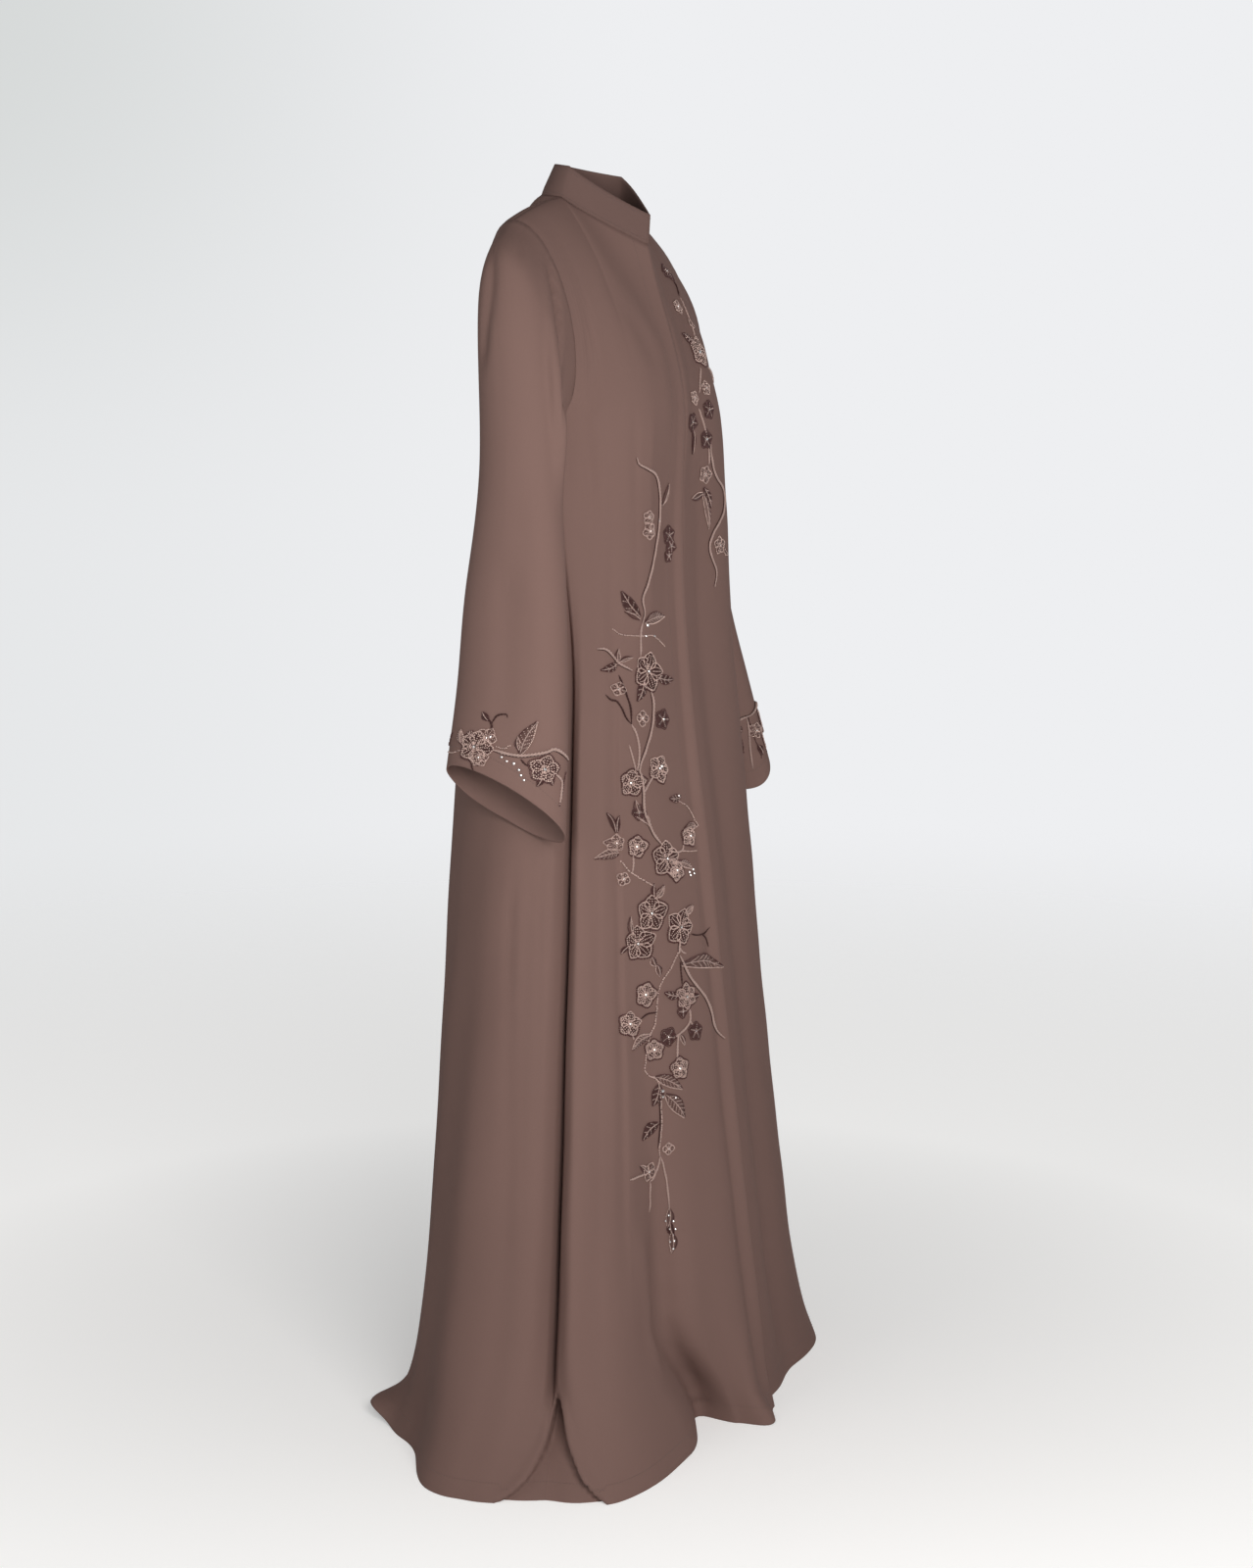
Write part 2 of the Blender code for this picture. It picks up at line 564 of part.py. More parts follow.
def wall_mesh(name, piece, wall):
    """Build a closed wall from a piece's outer points and normals."""
    grid = piece["grid"]
    outer = grid - np.array((0.0, 0.0, NECK_POINT_HEIGHT))
    inner = outer - piece["normals"] * wall
    rows, columns = grid.shape[:2]
    count = rows * columns
    verts = [tuple(p) for p in outer.reshape(-1, 3)] + [tuple(p) for p in inner.reshape(-1, 3)]
    faces = []
    last = columns if piece["closed"] else columns - 1
    for r in range(rows - 1):
        for c in range(last):
            a, b = r * columns + c, r * columns + (c + 1) % columns
            d, e = a + columns, b + columns
            faces.append((a, b, e, d))
            faces.append((a + count, d + count, e + count, b + count))
    for c in range(last):
        a, b = c, (c + 1) % columns
        faces.append((b, a, a + count, b + count))
        a, b = a + (rows - 1) * columns, b + (rows - 1) * columns
        faces.append((a, b, b + count, a + count))
    if not piece["closed"]:
        for r in range(rows - 1):
            a, b = r * columns, (r + 1) * columns
            faces.append((a, b, b + count, a + count))
            a, b = a + columns - 1, b + columns - 1
            faces.append((b, a, a + count, b + count))
    mesh = bpy.data.meshes.new(name)
    mesh.from_pydata(verts, [], faces)
    mesh.shade_smooth()
    mesh.set_sharp_from_angle(angle=math.radians(50.0))
    return mesh


def cloth_material(name, colour, roughness):
    """Make a plain matt cloth finish."""
    material = bpy.data.materials.new(name)
    material.use_nodes = True
    shader = material.node_tree.nodes["Principled BSDF"]
    shader.inputs["Base Color"].default_value = (*colour, 1.0)
    shader.inputs["Roughness"].default_value = roughness
    shader.inputs["Metallic"].default_value = 0.0
    return material


# Node name: colour of its crepe, linear RGB.
CREPE_COLOURS = {
    "back": (0.150, 0.092, 0.080),
    "front_right": (0.165, 0.102, 0.088),
    "front_left": (0.158, 0.097, 0.084),
    "sleeve_right": (0.160, 0.099, 0.086),
    "sleeve_left": (0.155, 0.096, 0.083),
    "collar": (0.145, 0.090, 0.079),
}
CREPE_ROUGHNESS = 0.85


def lay_out_pieces():
    """Work out every piece's outer points."""
    right_folds = RIGHT_SIDE_FOLDS + FRONT_RIGHT_FOLDS
    left_folds = LEFT_SIDE_FOLDS + FRONT_LEFT_FOLDS
    round_folds = RIGHT_SIDE_FOLDS + LEFT_SIDE_FOLDS + BACK_FOLDS
    right_columns = front_columns(-1.0, right_folds)
    left_columns = front_columns(1.0, left_folds)
    back_cols = back_columns(round_folds)
    front_right = panel_grid(right_columns, right_folds)
    front_left = panel_grid(left_columns, left_folds)
    back = panel_grid(back_cols, round_folds)

    first_right = 1
    first_left = 2
    neck_right = list(front_right[-1][first_right:first_right + NECK_COLUMNS_FRONT + 1])
    back_start = SHOULDER_COLUMNS
    neck_back = list(back[-1][back_start:back_start + 2 * NECK_COLUMNS_BACK + 1])
    neck_columns = left_columns[first_left:first_left + NECK_COLUMNS_FRONT + 1]
    neck_left = [top_point("front", c.share, True)[0] for c in neck_columns]
    neck_left[0] = neck_left[0] + np.array((COLLAR_PARTING, 0.0, 0.0))
    collar = collar_grid((
        neck_right[:-1], list(reversed(neck_back))[:-1], list(reversed(neck_left)),
    ))

    armhole_right = armhole_loop(front_right, back, -1, -1)
    armhole_left = armhole_loop(front_left, back, -1, 0)
    grids = {
        "back": back[:, ::-1],
        "front_right": front_right[:, ::-1],
        "front_left": front_left,
        "sleeve_right": sleeve_grid(armhole_right, SLEEVE_RINGS_RIGHT)[:, ::-1],
        "sleeve_left": sleeve_grid(armhole_left, SLEEVE_RINGS_LEFT),
        "collar": collar[:, ::-1],
    }
    return {
        name: {"grid": grid, "closed": name.startswith("sleeve"), "shift": {}}
        for name, grid in grids.items()
    }


def main():
    for thing in list(bpy.data.objects):
        bpy.data.objects.remove(thing, do_unlink=True)
    pieces = lay_out_pieces()
    for name, piece in pieces.items():
        piece["normals"] = grid_normals(piece["grid"], piece["closed"])
        if piece["closed"]:
            away = piece["grid"] - piece["grid"].mean(axis=1, keepdims=True)
        else:
            away = piece["grid"] * np.array((1.0, 1.0, 0.0))
        facing = float(np.sum(piece["normals"] * away))
        if facing < 0.0:
            piece["grid"] = piece["grid"][:, ::-1]
            piece["normals"] = -piece["normals"][:, ::-1]
        soften_normals(piece)
        if name == "collar":
            square_collar_ends(piece)
        elif not piece["closed"]:
            level_shoulder_normals(piece)
    for piece in pieces.values():
        piece["seam_normals"] = piece["normals"].copy()
    share_seam_normals(pieces)
    match_lap(pieces["front_right"])
    for name, piece in pieces.items():
        if name == "collar":
            trim_edge(piece, "first_row", SEAM_GAP)
        elif piece["closed"]:
            trim_edge(piece, "first_row", SEAM_GAP)
        else:
            trim_edge(piece, "first_column", SEAM_GAP / 2.0)
            trim_edge(piece, "last_column", SEAM_GAP / 2.0)
            trim_edge(piece, "last_row", SEAM_GAP / 2.0)
        apply_trims(piece)
    for name, piece in pieces.items():
        wall = COLLAR_WALL if name == "collar" else CLOTH_WALL
        mesh = wall_mesh(name, piece, wall)
        mesh.materials.append(cloth_material(name + "_crepe", CREPE_COLOURS[name], CREPE_ROUGHNESS))
        solid = bpy.data.objects.new(name, mesh)
        bpy.context.scene.collection.objects.link(solid)


main()
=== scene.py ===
import math
from bisect import bisect_right
from collections import namedtuple

import bpy
import numpy as np
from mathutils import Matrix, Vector


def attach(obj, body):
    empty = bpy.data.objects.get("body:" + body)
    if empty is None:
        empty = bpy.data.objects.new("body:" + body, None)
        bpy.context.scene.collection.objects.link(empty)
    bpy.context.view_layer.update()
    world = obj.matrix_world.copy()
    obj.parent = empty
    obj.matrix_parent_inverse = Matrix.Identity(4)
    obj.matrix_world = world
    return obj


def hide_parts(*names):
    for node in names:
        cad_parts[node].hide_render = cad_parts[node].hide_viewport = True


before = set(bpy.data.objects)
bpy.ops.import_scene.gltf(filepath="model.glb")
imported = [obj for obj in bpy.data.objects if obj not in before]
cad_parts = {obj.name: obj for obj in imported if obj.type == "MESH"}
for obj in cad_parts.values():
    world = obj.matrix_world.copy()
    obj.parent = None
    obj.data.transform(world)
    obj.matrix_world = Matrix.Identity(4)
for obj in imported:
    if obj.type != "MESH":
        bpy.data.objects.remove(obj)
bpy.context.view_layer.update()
print("frame loaded")

# Heights below are above the floor; the origin is the middle of the neck at this height.
neckPointHeight = 1.420
underarmHeight = 1.170
clothWall = 0.0011
collarWall = 0.0023

# Neckline and shoulder seam of the left half.
neckFront = np.array((0.0, -0.067, 1.369))
neckBack = np.array((0.0, 0.060, 1.428))
neckPoint = np.array((0.074, 0.008, 1.420))
shoulderTip = np.array((0.165, 0.018, 1.388))
shoulderRise = 0.003
neckPointedness = 0.6
collarHeight = {"front": 0.033, "back": 0.034}
collarLean = {"front": 0.004, "backMore": 0.008, "forward": 0.006}
collarParting = 0.0015

# Plan angles run from the centre front, negative to the wearer's right.
sideSeamAngle = 72.0
underarmSwing = {"turn": -7.0, "width": 40.0, "low": 0.85, "high": 1.17}
neckColumnAngle = {"front": 40.0, "back": 138.0}

# Columns of each front past the centre line. The left front goes under the right one by lapDepth,
# which fades out over lapFade.
lapAngles = {"right": (2.0, 1.3, 0.6), "left": (-7.0, -6.0, -4.5, -3.0, -1.5)}
lapDepth = 0.0052
lapFade = (2.0, 9.0)

# Half widths in metres, and how square each quarter of the ring is.
Section = namedtuple("Section", "height right left front back rightSquare leftSquare backSquare")
sections = (
    Section(0.000, 0.366, 0.335, 0.227, 0.182, 2.0, 2.1, 2.2),
    Section(0.045, 0.343, 0.314, 0.218, 0.162, 2.0, 2.1, 2.2),
    Section(0.120, 0.324, 0.300, 0.209, 0.152, 2.0, 2.1, 2.2),
    Section(0.260, 0.294, 0.282, 0.191, 0.146, 2.0, 2.2, 2.2),
    Section(0.500, 0.248, 0.246, 0.162, 0.143, 2.0, 2.4, 2.2),
    Section(0.640, 0.224, 0.222, 0.146, 0.141, 1.9, 2.6, 2.2),
    Section(0.790, 0.206, 0.202, 0.126, 0.134, 1.85, 2.8, 2.2),
    Section(0.950, 0.188, 0.187, 0.109, 0.121, 1.8, 3.1, 2.2),
    Section(1.070, 0.178, 0.178, 0.106, 0.109, 1.85, 3.2, 2.4),
    Section(1.170, 0.172, 0.172, 0.111, 0.100, 2.0, 2.9, 2.5),
    Section(1.250, 0.169, 0.169, 0.108, 0.098, 2.3, 2.9, 2.5),
)
sectionHeights = [row.height for row in sections]
faceBlend = 0.25

# Fold depths at foldHeights; slides are in degrees. What a row leaves out is 0.
foldHeights = (0.0, 0.15, 0.45, 0.80, 1.05, 1.28)
hemZone = 0.15
slideHeights = (0.75, 1.05)
slideSpread = 2.2
Fold = namedtuple("Fold", "name angle width hemWidth hem low middle hip bust slide hemSlide",
                  defaults=(0.0,) * 7)
rightSideFolds = (
    Fold("sideCrease", -72.0, 5.5, 9.0, 0.018, -0.006, -0.008, -0.008, 0.0, 0.8, 0.5),
    Fold("frontLip", -66.0, 6.0, 6.0, 0.004, 0.008, 0.007, 0.003, 0.0, -2.0, 0.5),
    Fold("frontFlute", -60.0, 18.0, 20.0, 0.072, 0.024, 0.012, 0.004),
    Fold("backLip", -78.0, 6.0, 8.0, 0.016, 0.008, 0.006, 0.002, 0.0, 1.0),
    Fold("backFlute", -86.0, 16.0, 17.0, 0.032, 0.010, 0.006, 0.003),
    Fold("bustFlute", -40.0, 26.0, 22.0, 0.000, 0.002, 0.004, 0.006, 0.008),
)
leftSideFolds = (
    Fold("sideCrease", 72.0, 6.0, 9.0, -0.004, -0.010, -0.010, -0.007, 0.0, -0.8),
    Fold("frontLip", 65.0, 7.0, 7.0, 0.004, 0.008, 0.007, 0.002, 0.0, 1.5),
    Fold("backLip", 79.0, 7.0, 7.0, 0.006, 0.008, 0.006, 0.002, 0.0, -1.0),
    Fold("backFlute", 88.0, 16.0, 16.0, 0.022, 0.010, 0.006, 0.003),
    Fold("bustFlute", 48.0, 24.0, 22.0, 0.022, 0.012, 0.009, 0.018, 0.017),
)
frontRightFolds = (
    Fold("groove", -35.0, 12.0, 11.0, -0.046, -0.022, -0.006, 0.0, 0.0, -10.0, 10.0),
    Fold("centreFlute", -12.0, 13.0, 14.0, 0.028, 0.010, 0.004),
    Fold("centreEdge", 2.5, 9.0, 11.0, 0.016, 0.012, 0.010, 0.008, 0.005, -3.0, -4.0),
    Fold("softLine", -54.0, 6.0, 6.0, 0.0, -0.002, -0.004, -0.003),
)
frontLeftFolds = (
    Fold("underEdge", 2.5, 9.0, 11.0, 0.0, 0.0, 0.0, 0.0, 0.0, -3.0, -4.0),
    Fold("groove", 24.0, 12.0, 12.0, -0.004, -0.012, -0.007, -0.003),
)
backFolds = (
    Fold("rightHipGroove", 256.0, 11.0, 13.0, -0.026, -0.012, -0.006),
    Fold("rightBladeFlute", 233.0, 14.0, 12.0, 0.018, 0.010, 0.007, 0.006, 0.004),
    Fold("rightBladeGroove", 212.0, 13.0, 12.0, -0.030, -0.020, -0.014, -0.010, -0.003),
    Fold("rightCentreFlute", 194.0, 11.0, 11.0, 0.026, 0.014, 0.010, 0.005),
    Fold("centreGroove", 176.0, 10.0, 10.0, -0.024, -0.014, -0.009, -0.005),
    Fold("leftCentreFlute", 160.0, 11.0, 11.0, 0.024, 0.014, 0.011, 0.006, 0.002),
    Fold("leftBladeGroove", 142.0, 12.0, 12.0, -0.028, -0.018, -0.013, -0.009, -0.003),
    Fold("leftBladeFlute", 124.0, 13.0, 12.0, 0.020, 0.012, 0.008, 0.006, 0.004),
    Fold("leftHipGroove", 104.0, 9.0, 9.0, -0.018, -0.010, -0.005),
)

# Where two flutes meet at a side seam: a sharp valley that opens into a flat tuck at the hem.
valleyHeights = (0.07, 0.11, 0.45, 0.80, 0.98)
valleyPoint = {"soften": 0.01, "offset": 0.1}
valleyFade = {"top": 1.10, "reach": 0.12}
Valley = namedtuple(
    "Valley", "angle width low middle high hip tuckAngle tuckHalf tuckTop tuckDepth",
)
valleys = (
    Valley(-72.0, 1.9, -0.017, -0.016, -0.012, -0.004, -70.2, 0.042, 0.100, 0.015),
    Valley(72.0, 1.9, -0.016, -0.015, -0.010, -0.003, 71.0, 0.036, 0.092, 0.013),
)
tuckRadius = 0.345
tuckEdge = 0.0036
tuckFade = 0.02
tuckSink = (0.7, 1.1)
tuckRim = {"height": 0.003, "off": 1.6, "width": 3.0, "growth": 0.03}
tuckOpening = (
    (0.0, 0.06, 0.14, 0.27, 0.54, 0.82, 1.0),
    (1.24, 1.0, 0.80, 0.56, 0.27, 0.14, 0.0),
)
hemCurlZone = 0.04
Curl = namedtuple("Curl", "name angle width reach lift")
curls = (
    Curl("backTip", 235.0, 12.0, 0.022, 0.016),
    Curl("leftTip", 120.0, 14.0, 0.016, 0.010),
    Curl("centreTip", -8.0, 11.0, 0.014, 0.002),
)

# The yoke: how the cloth leaves the neckline and shoulder seam, and how it reaches the underarm.
leaveCentre = {"front": (0.0, -0.045, -0.210), "back": (0.0, 0.080, -0.160)}
leaveNeckPoint = {"front": (0.040, -0.080, -0.045), "back": (0.050, 0.190, -0.010)}
leaveTip = {"front": (-0.050, -0.180, -0.010), "back": (-0.050, 0.230, -0.010)}
armholeRun = {"front": 0.165, "back": 0.140}
armholeShareStart = 0.55
armholeSlack = 0.9
slopeStep = {"turn": 0.5, "height": 0.01}

SleeveRing = namedtuple("SleeveRing", "centre outward forward")
sleeveRings = {
    "right": (
        SleeveRing((-0.2045, -0.014, 1.236), (-0.024, 0.017, 0.098), (0.0, -0.043, 0.010)),
        SleeveRing((-0.2180, -0.021, 1.100), (-0.034, 0.0, 0.030), (0.0, -0.048, 0.0)),
        SleeveRing((-0.2330, -0.022, 0.970), (-0.034, 0.0, 0.015), (0.0, -0.061, -0.005)),
        SleeveRing((-0.2440, -0.0235, 0.860), (-0.034, 0.0, 0.022), (0.0, -0.067, -0.015)),
        SleeveRing((-0.2570, -0.022, 0.750), (-0.036, 0.0, 0.034), (0.004, -0.071, -0.027)),
    ),
    "left": (
        SleeveRing((0.2045, 0.004, 1.236), (0.024, 0.018, 0.094), (0.0, -0.046, 0.010)),
        SleeveRing((0.2180, 0.002, 1.100), (0.034, 0.0, 0.030), (0.0, -0.050, 0.0)),
        SleeveRing((0.2310, 0.000, 0.970), (0.034, 0.0, 0.015), (0.0, -0.060, -0.005)),
        SleeveRing((0.2430, -0.018, 0.860), (0.034, 0.0, 0.022), (0.0, -0.066, -0.015)),
        SleeveRing((0.2570, -0.044, 0.750), (0.036, 0.0, 0.034), (-0.004, -0.070, -0.027)),
    ),
}

# Folds along a sleeve: turn from the outer line towards the front, and the stretch it fills.
SleeveFold = namedtuple("SleeveFold", "name turn width depth start end")
sleeveFolds = (
    SleeveFold("frontHollow", 128.0, 24.0, -0.010, 0.05, 0.55),
    SleeveFold("frontRidge", 92.0, 26.0, 0.013, 0.02, 0.42),
    SleeveFold("backHollow", 238.0, 26.0, -0.008, 0.05, 0.60),
    SleeveFold("cuffWave", 200.0, 40.0, -0.006, 0.55, 1.20),
)

# Grid fineness.
neckCount = {"front": 34, "back": 24}
shoulderCount = 88
hemLevels = (0.0, 0.002, 0.005, 0.009, 0.014, 0.019, 0.0215, 0.025, 0.030, 0.037, 0.046)
tuckLevels = (0.053, 0.060, 0.067, 0.074, 0.081, 0.088, 0.095, 0.102, 0.110)
bodyLevels = np.concatenate((hemLevels, tuckLevels, np.linspace(0.120, underarmHeight, 98)))
yokeShares = 1.0 - (np.arange(1, 33) / 32.0) ** 1.15
yokeSpan = 0.25
levels = np.concatenate((bodyLevels, underarmHeight + (1.0 - yokeShares) * yokeSpan))
sleeveRowCount = 92
cuffLevels = (0.962, 0.968, 0.9715, 0.976, 0.982, 0.988, 0.993, 0.997, 1.0)
sleeveLevels = np.concatenate((
    np.linspace(0.0, 0.955, sleeveRowCount - len(cuffLevels)), cuffLevels,
))
armholeFineness = 3
collarRowCount = 10

# How much closer the columns lie over folds, tucks and valleys.
crowding = {
    "samples": 801, "fold": 1.6, "foldReach": 1.5, "foldWidth": 9.0, "foldMost": 1.6,
    "tuck": 2.6, "tuckReach": 12.0, "valley": 7.0, "valleyReach": 3.0,
}


def ease(value):
    t = np.clip(value, 0.0, 1.0)
    return t * t * (3.0 - 2.0 * t)


def hump(offset, width):
    t = np.minimum(np.abs(offset) / width, 1.0)
    return np.cos(t * math.pi / 2.0) ** 2


def turnBetween(angle, centre):
    return (angle - centre + 180.0) % 360.0 - 180.0


def unit(vectors):
    return vectors / np.maximum(np.linalg.norm(vectors, axis=-1, keepdims=True), 1e-12)


def smoothValue(knots, values, at):
    at = min(max(at, knots[0]), knots[-1])
    i = min(max(bisect_right(knots, at) - 1, 0), len(knots) - 2)
    step = knots[i + 1] - knots[i]
    t = (at - knots[i]) / step

    def slope(k):
        low, high = max(k - 1, 0), min(k + 1, len(knots) - 1)
        return (values[high] - values[low]) / (knots[high] - knots[low])

    return (
        (2 * t**3 - 3 * t**2 + 1) * values[i]
        + (t**3 - 2 * t**2 + t) * step * slope(i)
        + (3 * t**2 - 2 * t**3) * values[i + 1]
        + (t**3 - t**2) * step * slope(i + 1)
    )


def sectionValue(column, height):
    return smoothValue(sectionHeights, [getattr(row, column) for row in sections], height)


def ringRadius(angles, height):
    turn = np.radians(angles)
    across, along = np.sin(turn), np.cos(turn)
    right, left, front, back, rightSquare, leftSquare, backSquare = (
        sectionValue(column, height) for column in Section._fields[1:]
    )
    width = np.where(across > 0, left, right)
    depth = np.where(along > 0, front, back)
    blend = ease((along + faceBlend) / (2.0 * faceBlend))
    square = np.where(across > 0, leftSquare, rightSquare) * blend + backSquare * (1.0 - blend)
    return ((abs(across) / width) ** square + (abs(along) / depth) ** square) ** (-1.0 / square)


def bodyRing(angles, height, folds, under=0.0):
    hemShare = float(ease((hemZone - height) / hemZone))
    low, high = slideHeights
    slideShare = float(ease((high - height) / (high - low))) * (1.0 - hemShare)
    depth = np.zeros_like(angles)
    slide = np.zeros_like(angles)
    for fold in folds:
        width = fold.width + (fold.hemWidth - fold.width) * hemShare
        turn = turnBetween(angles, fold.angle)
        depths = (fold.hem, fold.low, fold.middle, fold.hip, fold.bust, 0.0)
        depth += hump(turn, width) * smoothValue(foldHeights, depths, height)
        shift = fold.slide * slideShare + fold.hemSlide * hemShare
        slide += hump(turn, width * slideSpread) * shift
    for valley in valleys:
        turn = turnBetween(angles, valley.angle) / valley.width
        turn = np.sqrt(turn**2 + valleyPoint["soften"]) - valleyPoint["offset"]
        sharp = np.clip(1.0 - turn, 0.0, 1.0) ** 2
        depths = (0.0, valley.low, valley.middle, valley.high, valley.hip)
        fade = float(ease((valleyFade["top"] - height) / valleyFade["reach"]))
        depth += sharp * smoothValue(valleyHeights, depths, height) * fade
        if height < valley.tuckTop:
            half = valley.tuckHalf * smoothValue(*tuckOpening, height / valley.tuckTop)
            off = np.abs(np.radians(turnBetween(angles, valley.tuckAngle))) * tuckRadius
            rim = hump(off - half - tuckRim["off"] * tuckEdge, tuckRim["width"] * tuckEdge)
            raised = tuckRim["height"] * rim * float(ease(height / tuckRim["growth"]))
            sunk = valley.tuckDepth * (tuckSink[0] + tuckSink[1] * height / valley.tuckTop)
            reach = float(ease((valley.tuckTop - height) / tuckFade))
            depth += reach * (raised - sunk * ease((half - off) / tuckEdge + 0.5))
    swing = underarmSwing
    swung = float(ease((height - swing["low"]) / (swing["high"] - swing["low"])))
    swung = swing["turn"] * swung
    for seam in (sideSeamAngle, -sideSeamAngle):
        near = hump(turnBetween(angles, seam), swing["width"])
        slide -= math.copysign(1.0, seam) * swung * near
    curlShare = float(ease((hemCurlZone - height) / hemCurlZone))
    lift = np.zeros_like(angles)
    for curl in curls:
        near = hump(turnBetween(angles, curl.angle), curl.width)
        depth += curl.reach * near * curlShare
        lift += curl.lift * near * curlShare**2
    radius = ringRadius(angles + slide, height) + depth - under
    turn = np.radians(angles + slide)
    return np.stack((radius * np.sin(turn), -radius * np.cos(turn), height + lift), axis=-1)


def topLine(face, share, onNeck):
    share = np.abs(share)[:, None]
    turn = share * math.pi / 2.0
    centre = neckFront if face == "front" else neckBack
    pointed = neckPointedness if face == "front" else 0.0
    backOff = (1.0 - pointed) * np.cos(turn) + pointed * (1.0 - np.sin(turn))
    neck = neckPoint + (centre - neckPoint) * backOff
    neck[:, 0] = neckPoint[0] * np.sin(turn[:, 0])
    atCentre, atNeck, atTip = (np.array(t[face]) for t in (leaveCentre, leaveNeckPoint, leaveTip))
    neckLeave = atCentre + (atNeck - atCentre) * ease(share)
    shoulder = neckPoint + (shoulderTip - neckPoint) * share
    shoulder[:, 2] += shoulderRise * np.sin(math.pi * share[:, 0])
    shoulderLeave = atNeck + (atTip - atNeck) * share
    pick = onNeck[:, None]
    return np.where(pick, neck, shoulder), np.where(pick, neckLeave, shoulderLeave)


def yokeRows(columns, folds):
    top, leave = topLine(columns["face"], columns["share"], columns["onNeck"])
    ones = np.ones_like(top[:, 0])
    mirror = np.stack((columns["side"], ones, ones), axis=-1)
    top, leave = top * mirror, leave * mirror
    angles = columns["angle"]
    base = bodyRing(angles, underarmHeight, folds)
    middle = 0.0 if columns["face"] == "front" else 180.0
    towardSeam = slopeStep["turn"] * np.sign(turnBetween(columns["seam"], middle))
    roundRing = unit(bodyRing(angles + towardSeam, underarmHeight, folds) - base)
    down = unit(bodyRing(angles, underarmHeight - slopeStep["height"], folds) - base)
    run = ease((columns["weight"] - armholeShareStart) / (1.0 - armholeShareStart))[:, None]
    length = np.linalg.norm(base - top, axis=1)[:, None]
    arrive = down * length * (1.0 - armholeSlack * run)
    arrive = arrive + roundRing * armholeRun[columns["face"]] * run
    rows = []
    for v in yokeShares:
        point = (
            (2 * v**3 - 3 * v**2 + 1) * top + (v**3 - 2 * v**2 + v) * leave
            + (3 * v**2 - 2 * v**3) * base + (v**3 - v**2) * arrive
        )
        inward = unit(point * np.array((1.0, 1.0, 0.0)))
        rows.append(point - inward * columns["under"][:, None])
    return rows


def spreadAngles(start, end, count, folds):
    samples = np.linspace(start, end, crowding["samples"])
    dense = np.ones_like(samples)
    for fold in folds:
        near = hump(turnBetween(samples, fold.angle), crowding["foldReach"] * fold.width)
        most = min(crowding["foldWidth"] / fold.width, crowding["foldMost"])
        dense += crowding["fold"] * near * most
    for valley in valleys:
        for kind, angle in (("tuck", valley.tuckAngle), ("valley", valley.angle)):
            dense += crowding[kind] * hump(turnBetween(samples, angle), crowding[kind + "Reach"])
    total = np.concatenate(([0.0], np.cumsum((dense[1:] + dense[:-1]) / 2)))
    return np.interp(np.linspace(0.0, total[-1], count + 1), total, samples)


def halfColumns(face, side, folds):
    if face == "front":
        centre, neckAngle, seam = 0.0, side * neckColumnAngle["front"], side * sideSeamAngle
    else:
        centre = 180.0
        neckAngle = 180.0 - side * (180.0 - neckColumnAngle["back"])
        seam = 180.0 - side * (180.0 - sideSeamAngle)
    neck = spreadAngles(centre, neckAngle, neckCount[face], folds)
    shoulder = spreadAngles(neckAngle, seam, shoulderCount, folds)[1:]
    angle = np.concatenate((neck, shoulder))
    share = np.concatenate((
        (neck - centre) / (neckAngle - centre), (shoulder - neckAngle) / (seam - neckAngle),
    ))
    return {
        "face": face, "angle": angle, "share": share, "side": np.full(len(angle), side),
        "seam": np.full(len(angle), seam), "weight": (angle - centre) / (seam - centre),
        "onNeck": np.arange(len(angle)) < len(neck), "under": np.zeros(len(angle)),
    }


def joinColumns(first, second):
    joined = {key: np.concatenate((first[key], second[key])) for key in first if key != "face"}
    joined["face"] = first["face"]
    return joined


def pickColumns(columns, which):
    return {key: value if key == "face" else value[which] for key, value in columns.items()}


# The stretch of a front that passes the centre line.
def lapColumns(columns, angles, side):
    lap = pickColumns(columns, np.zeros(len(angles), int))
    lap["angle"] = np.array(angles)
    lap["side"] = np.full(len(angles), side)
    lap["share"] = np.array(angles) / neckColumnAngle["front"]
    return joinColumns(lap, columns)


def panelColumns(name, folds):
    if name == "back":
        left, right = (halfColumns("back", side, folds) for side in (1.0, -1.0))
        return joinColumns(
            pickColumns(left, slice(None, None, -1)), pickColumns(right, slice(1, None)),
        )
    if name == "front_right":
        return lapColumns(halfColumns("front", -1.0, folds), lapAngles["right"], 1.0)
    columns = lapColumns(halfColumns("front", 1.0, folds), lapAngles["left"], -1.0)
    low, high = lapFade
    columns["under"] = lapDepth * (1.0 - ease((columns["angle"] - low) / (high - low)))
    return columns


def panelGrid(columns, folds):
    rows = [bodyRing(columns["angle"], h, folds, columns["under"]) for h in bodyLevels]
    return np.array(rows + yokeRows(columns, folds))


# More points on a closed line, none of its own moved.
def closerRing(points, times):
    step = np.roll(points, -1, axis=0) - points
    between = [points + step * (k / times) for k in range(times)]
    return np.concatenate(between, axis=1).reshape(-1, 3)


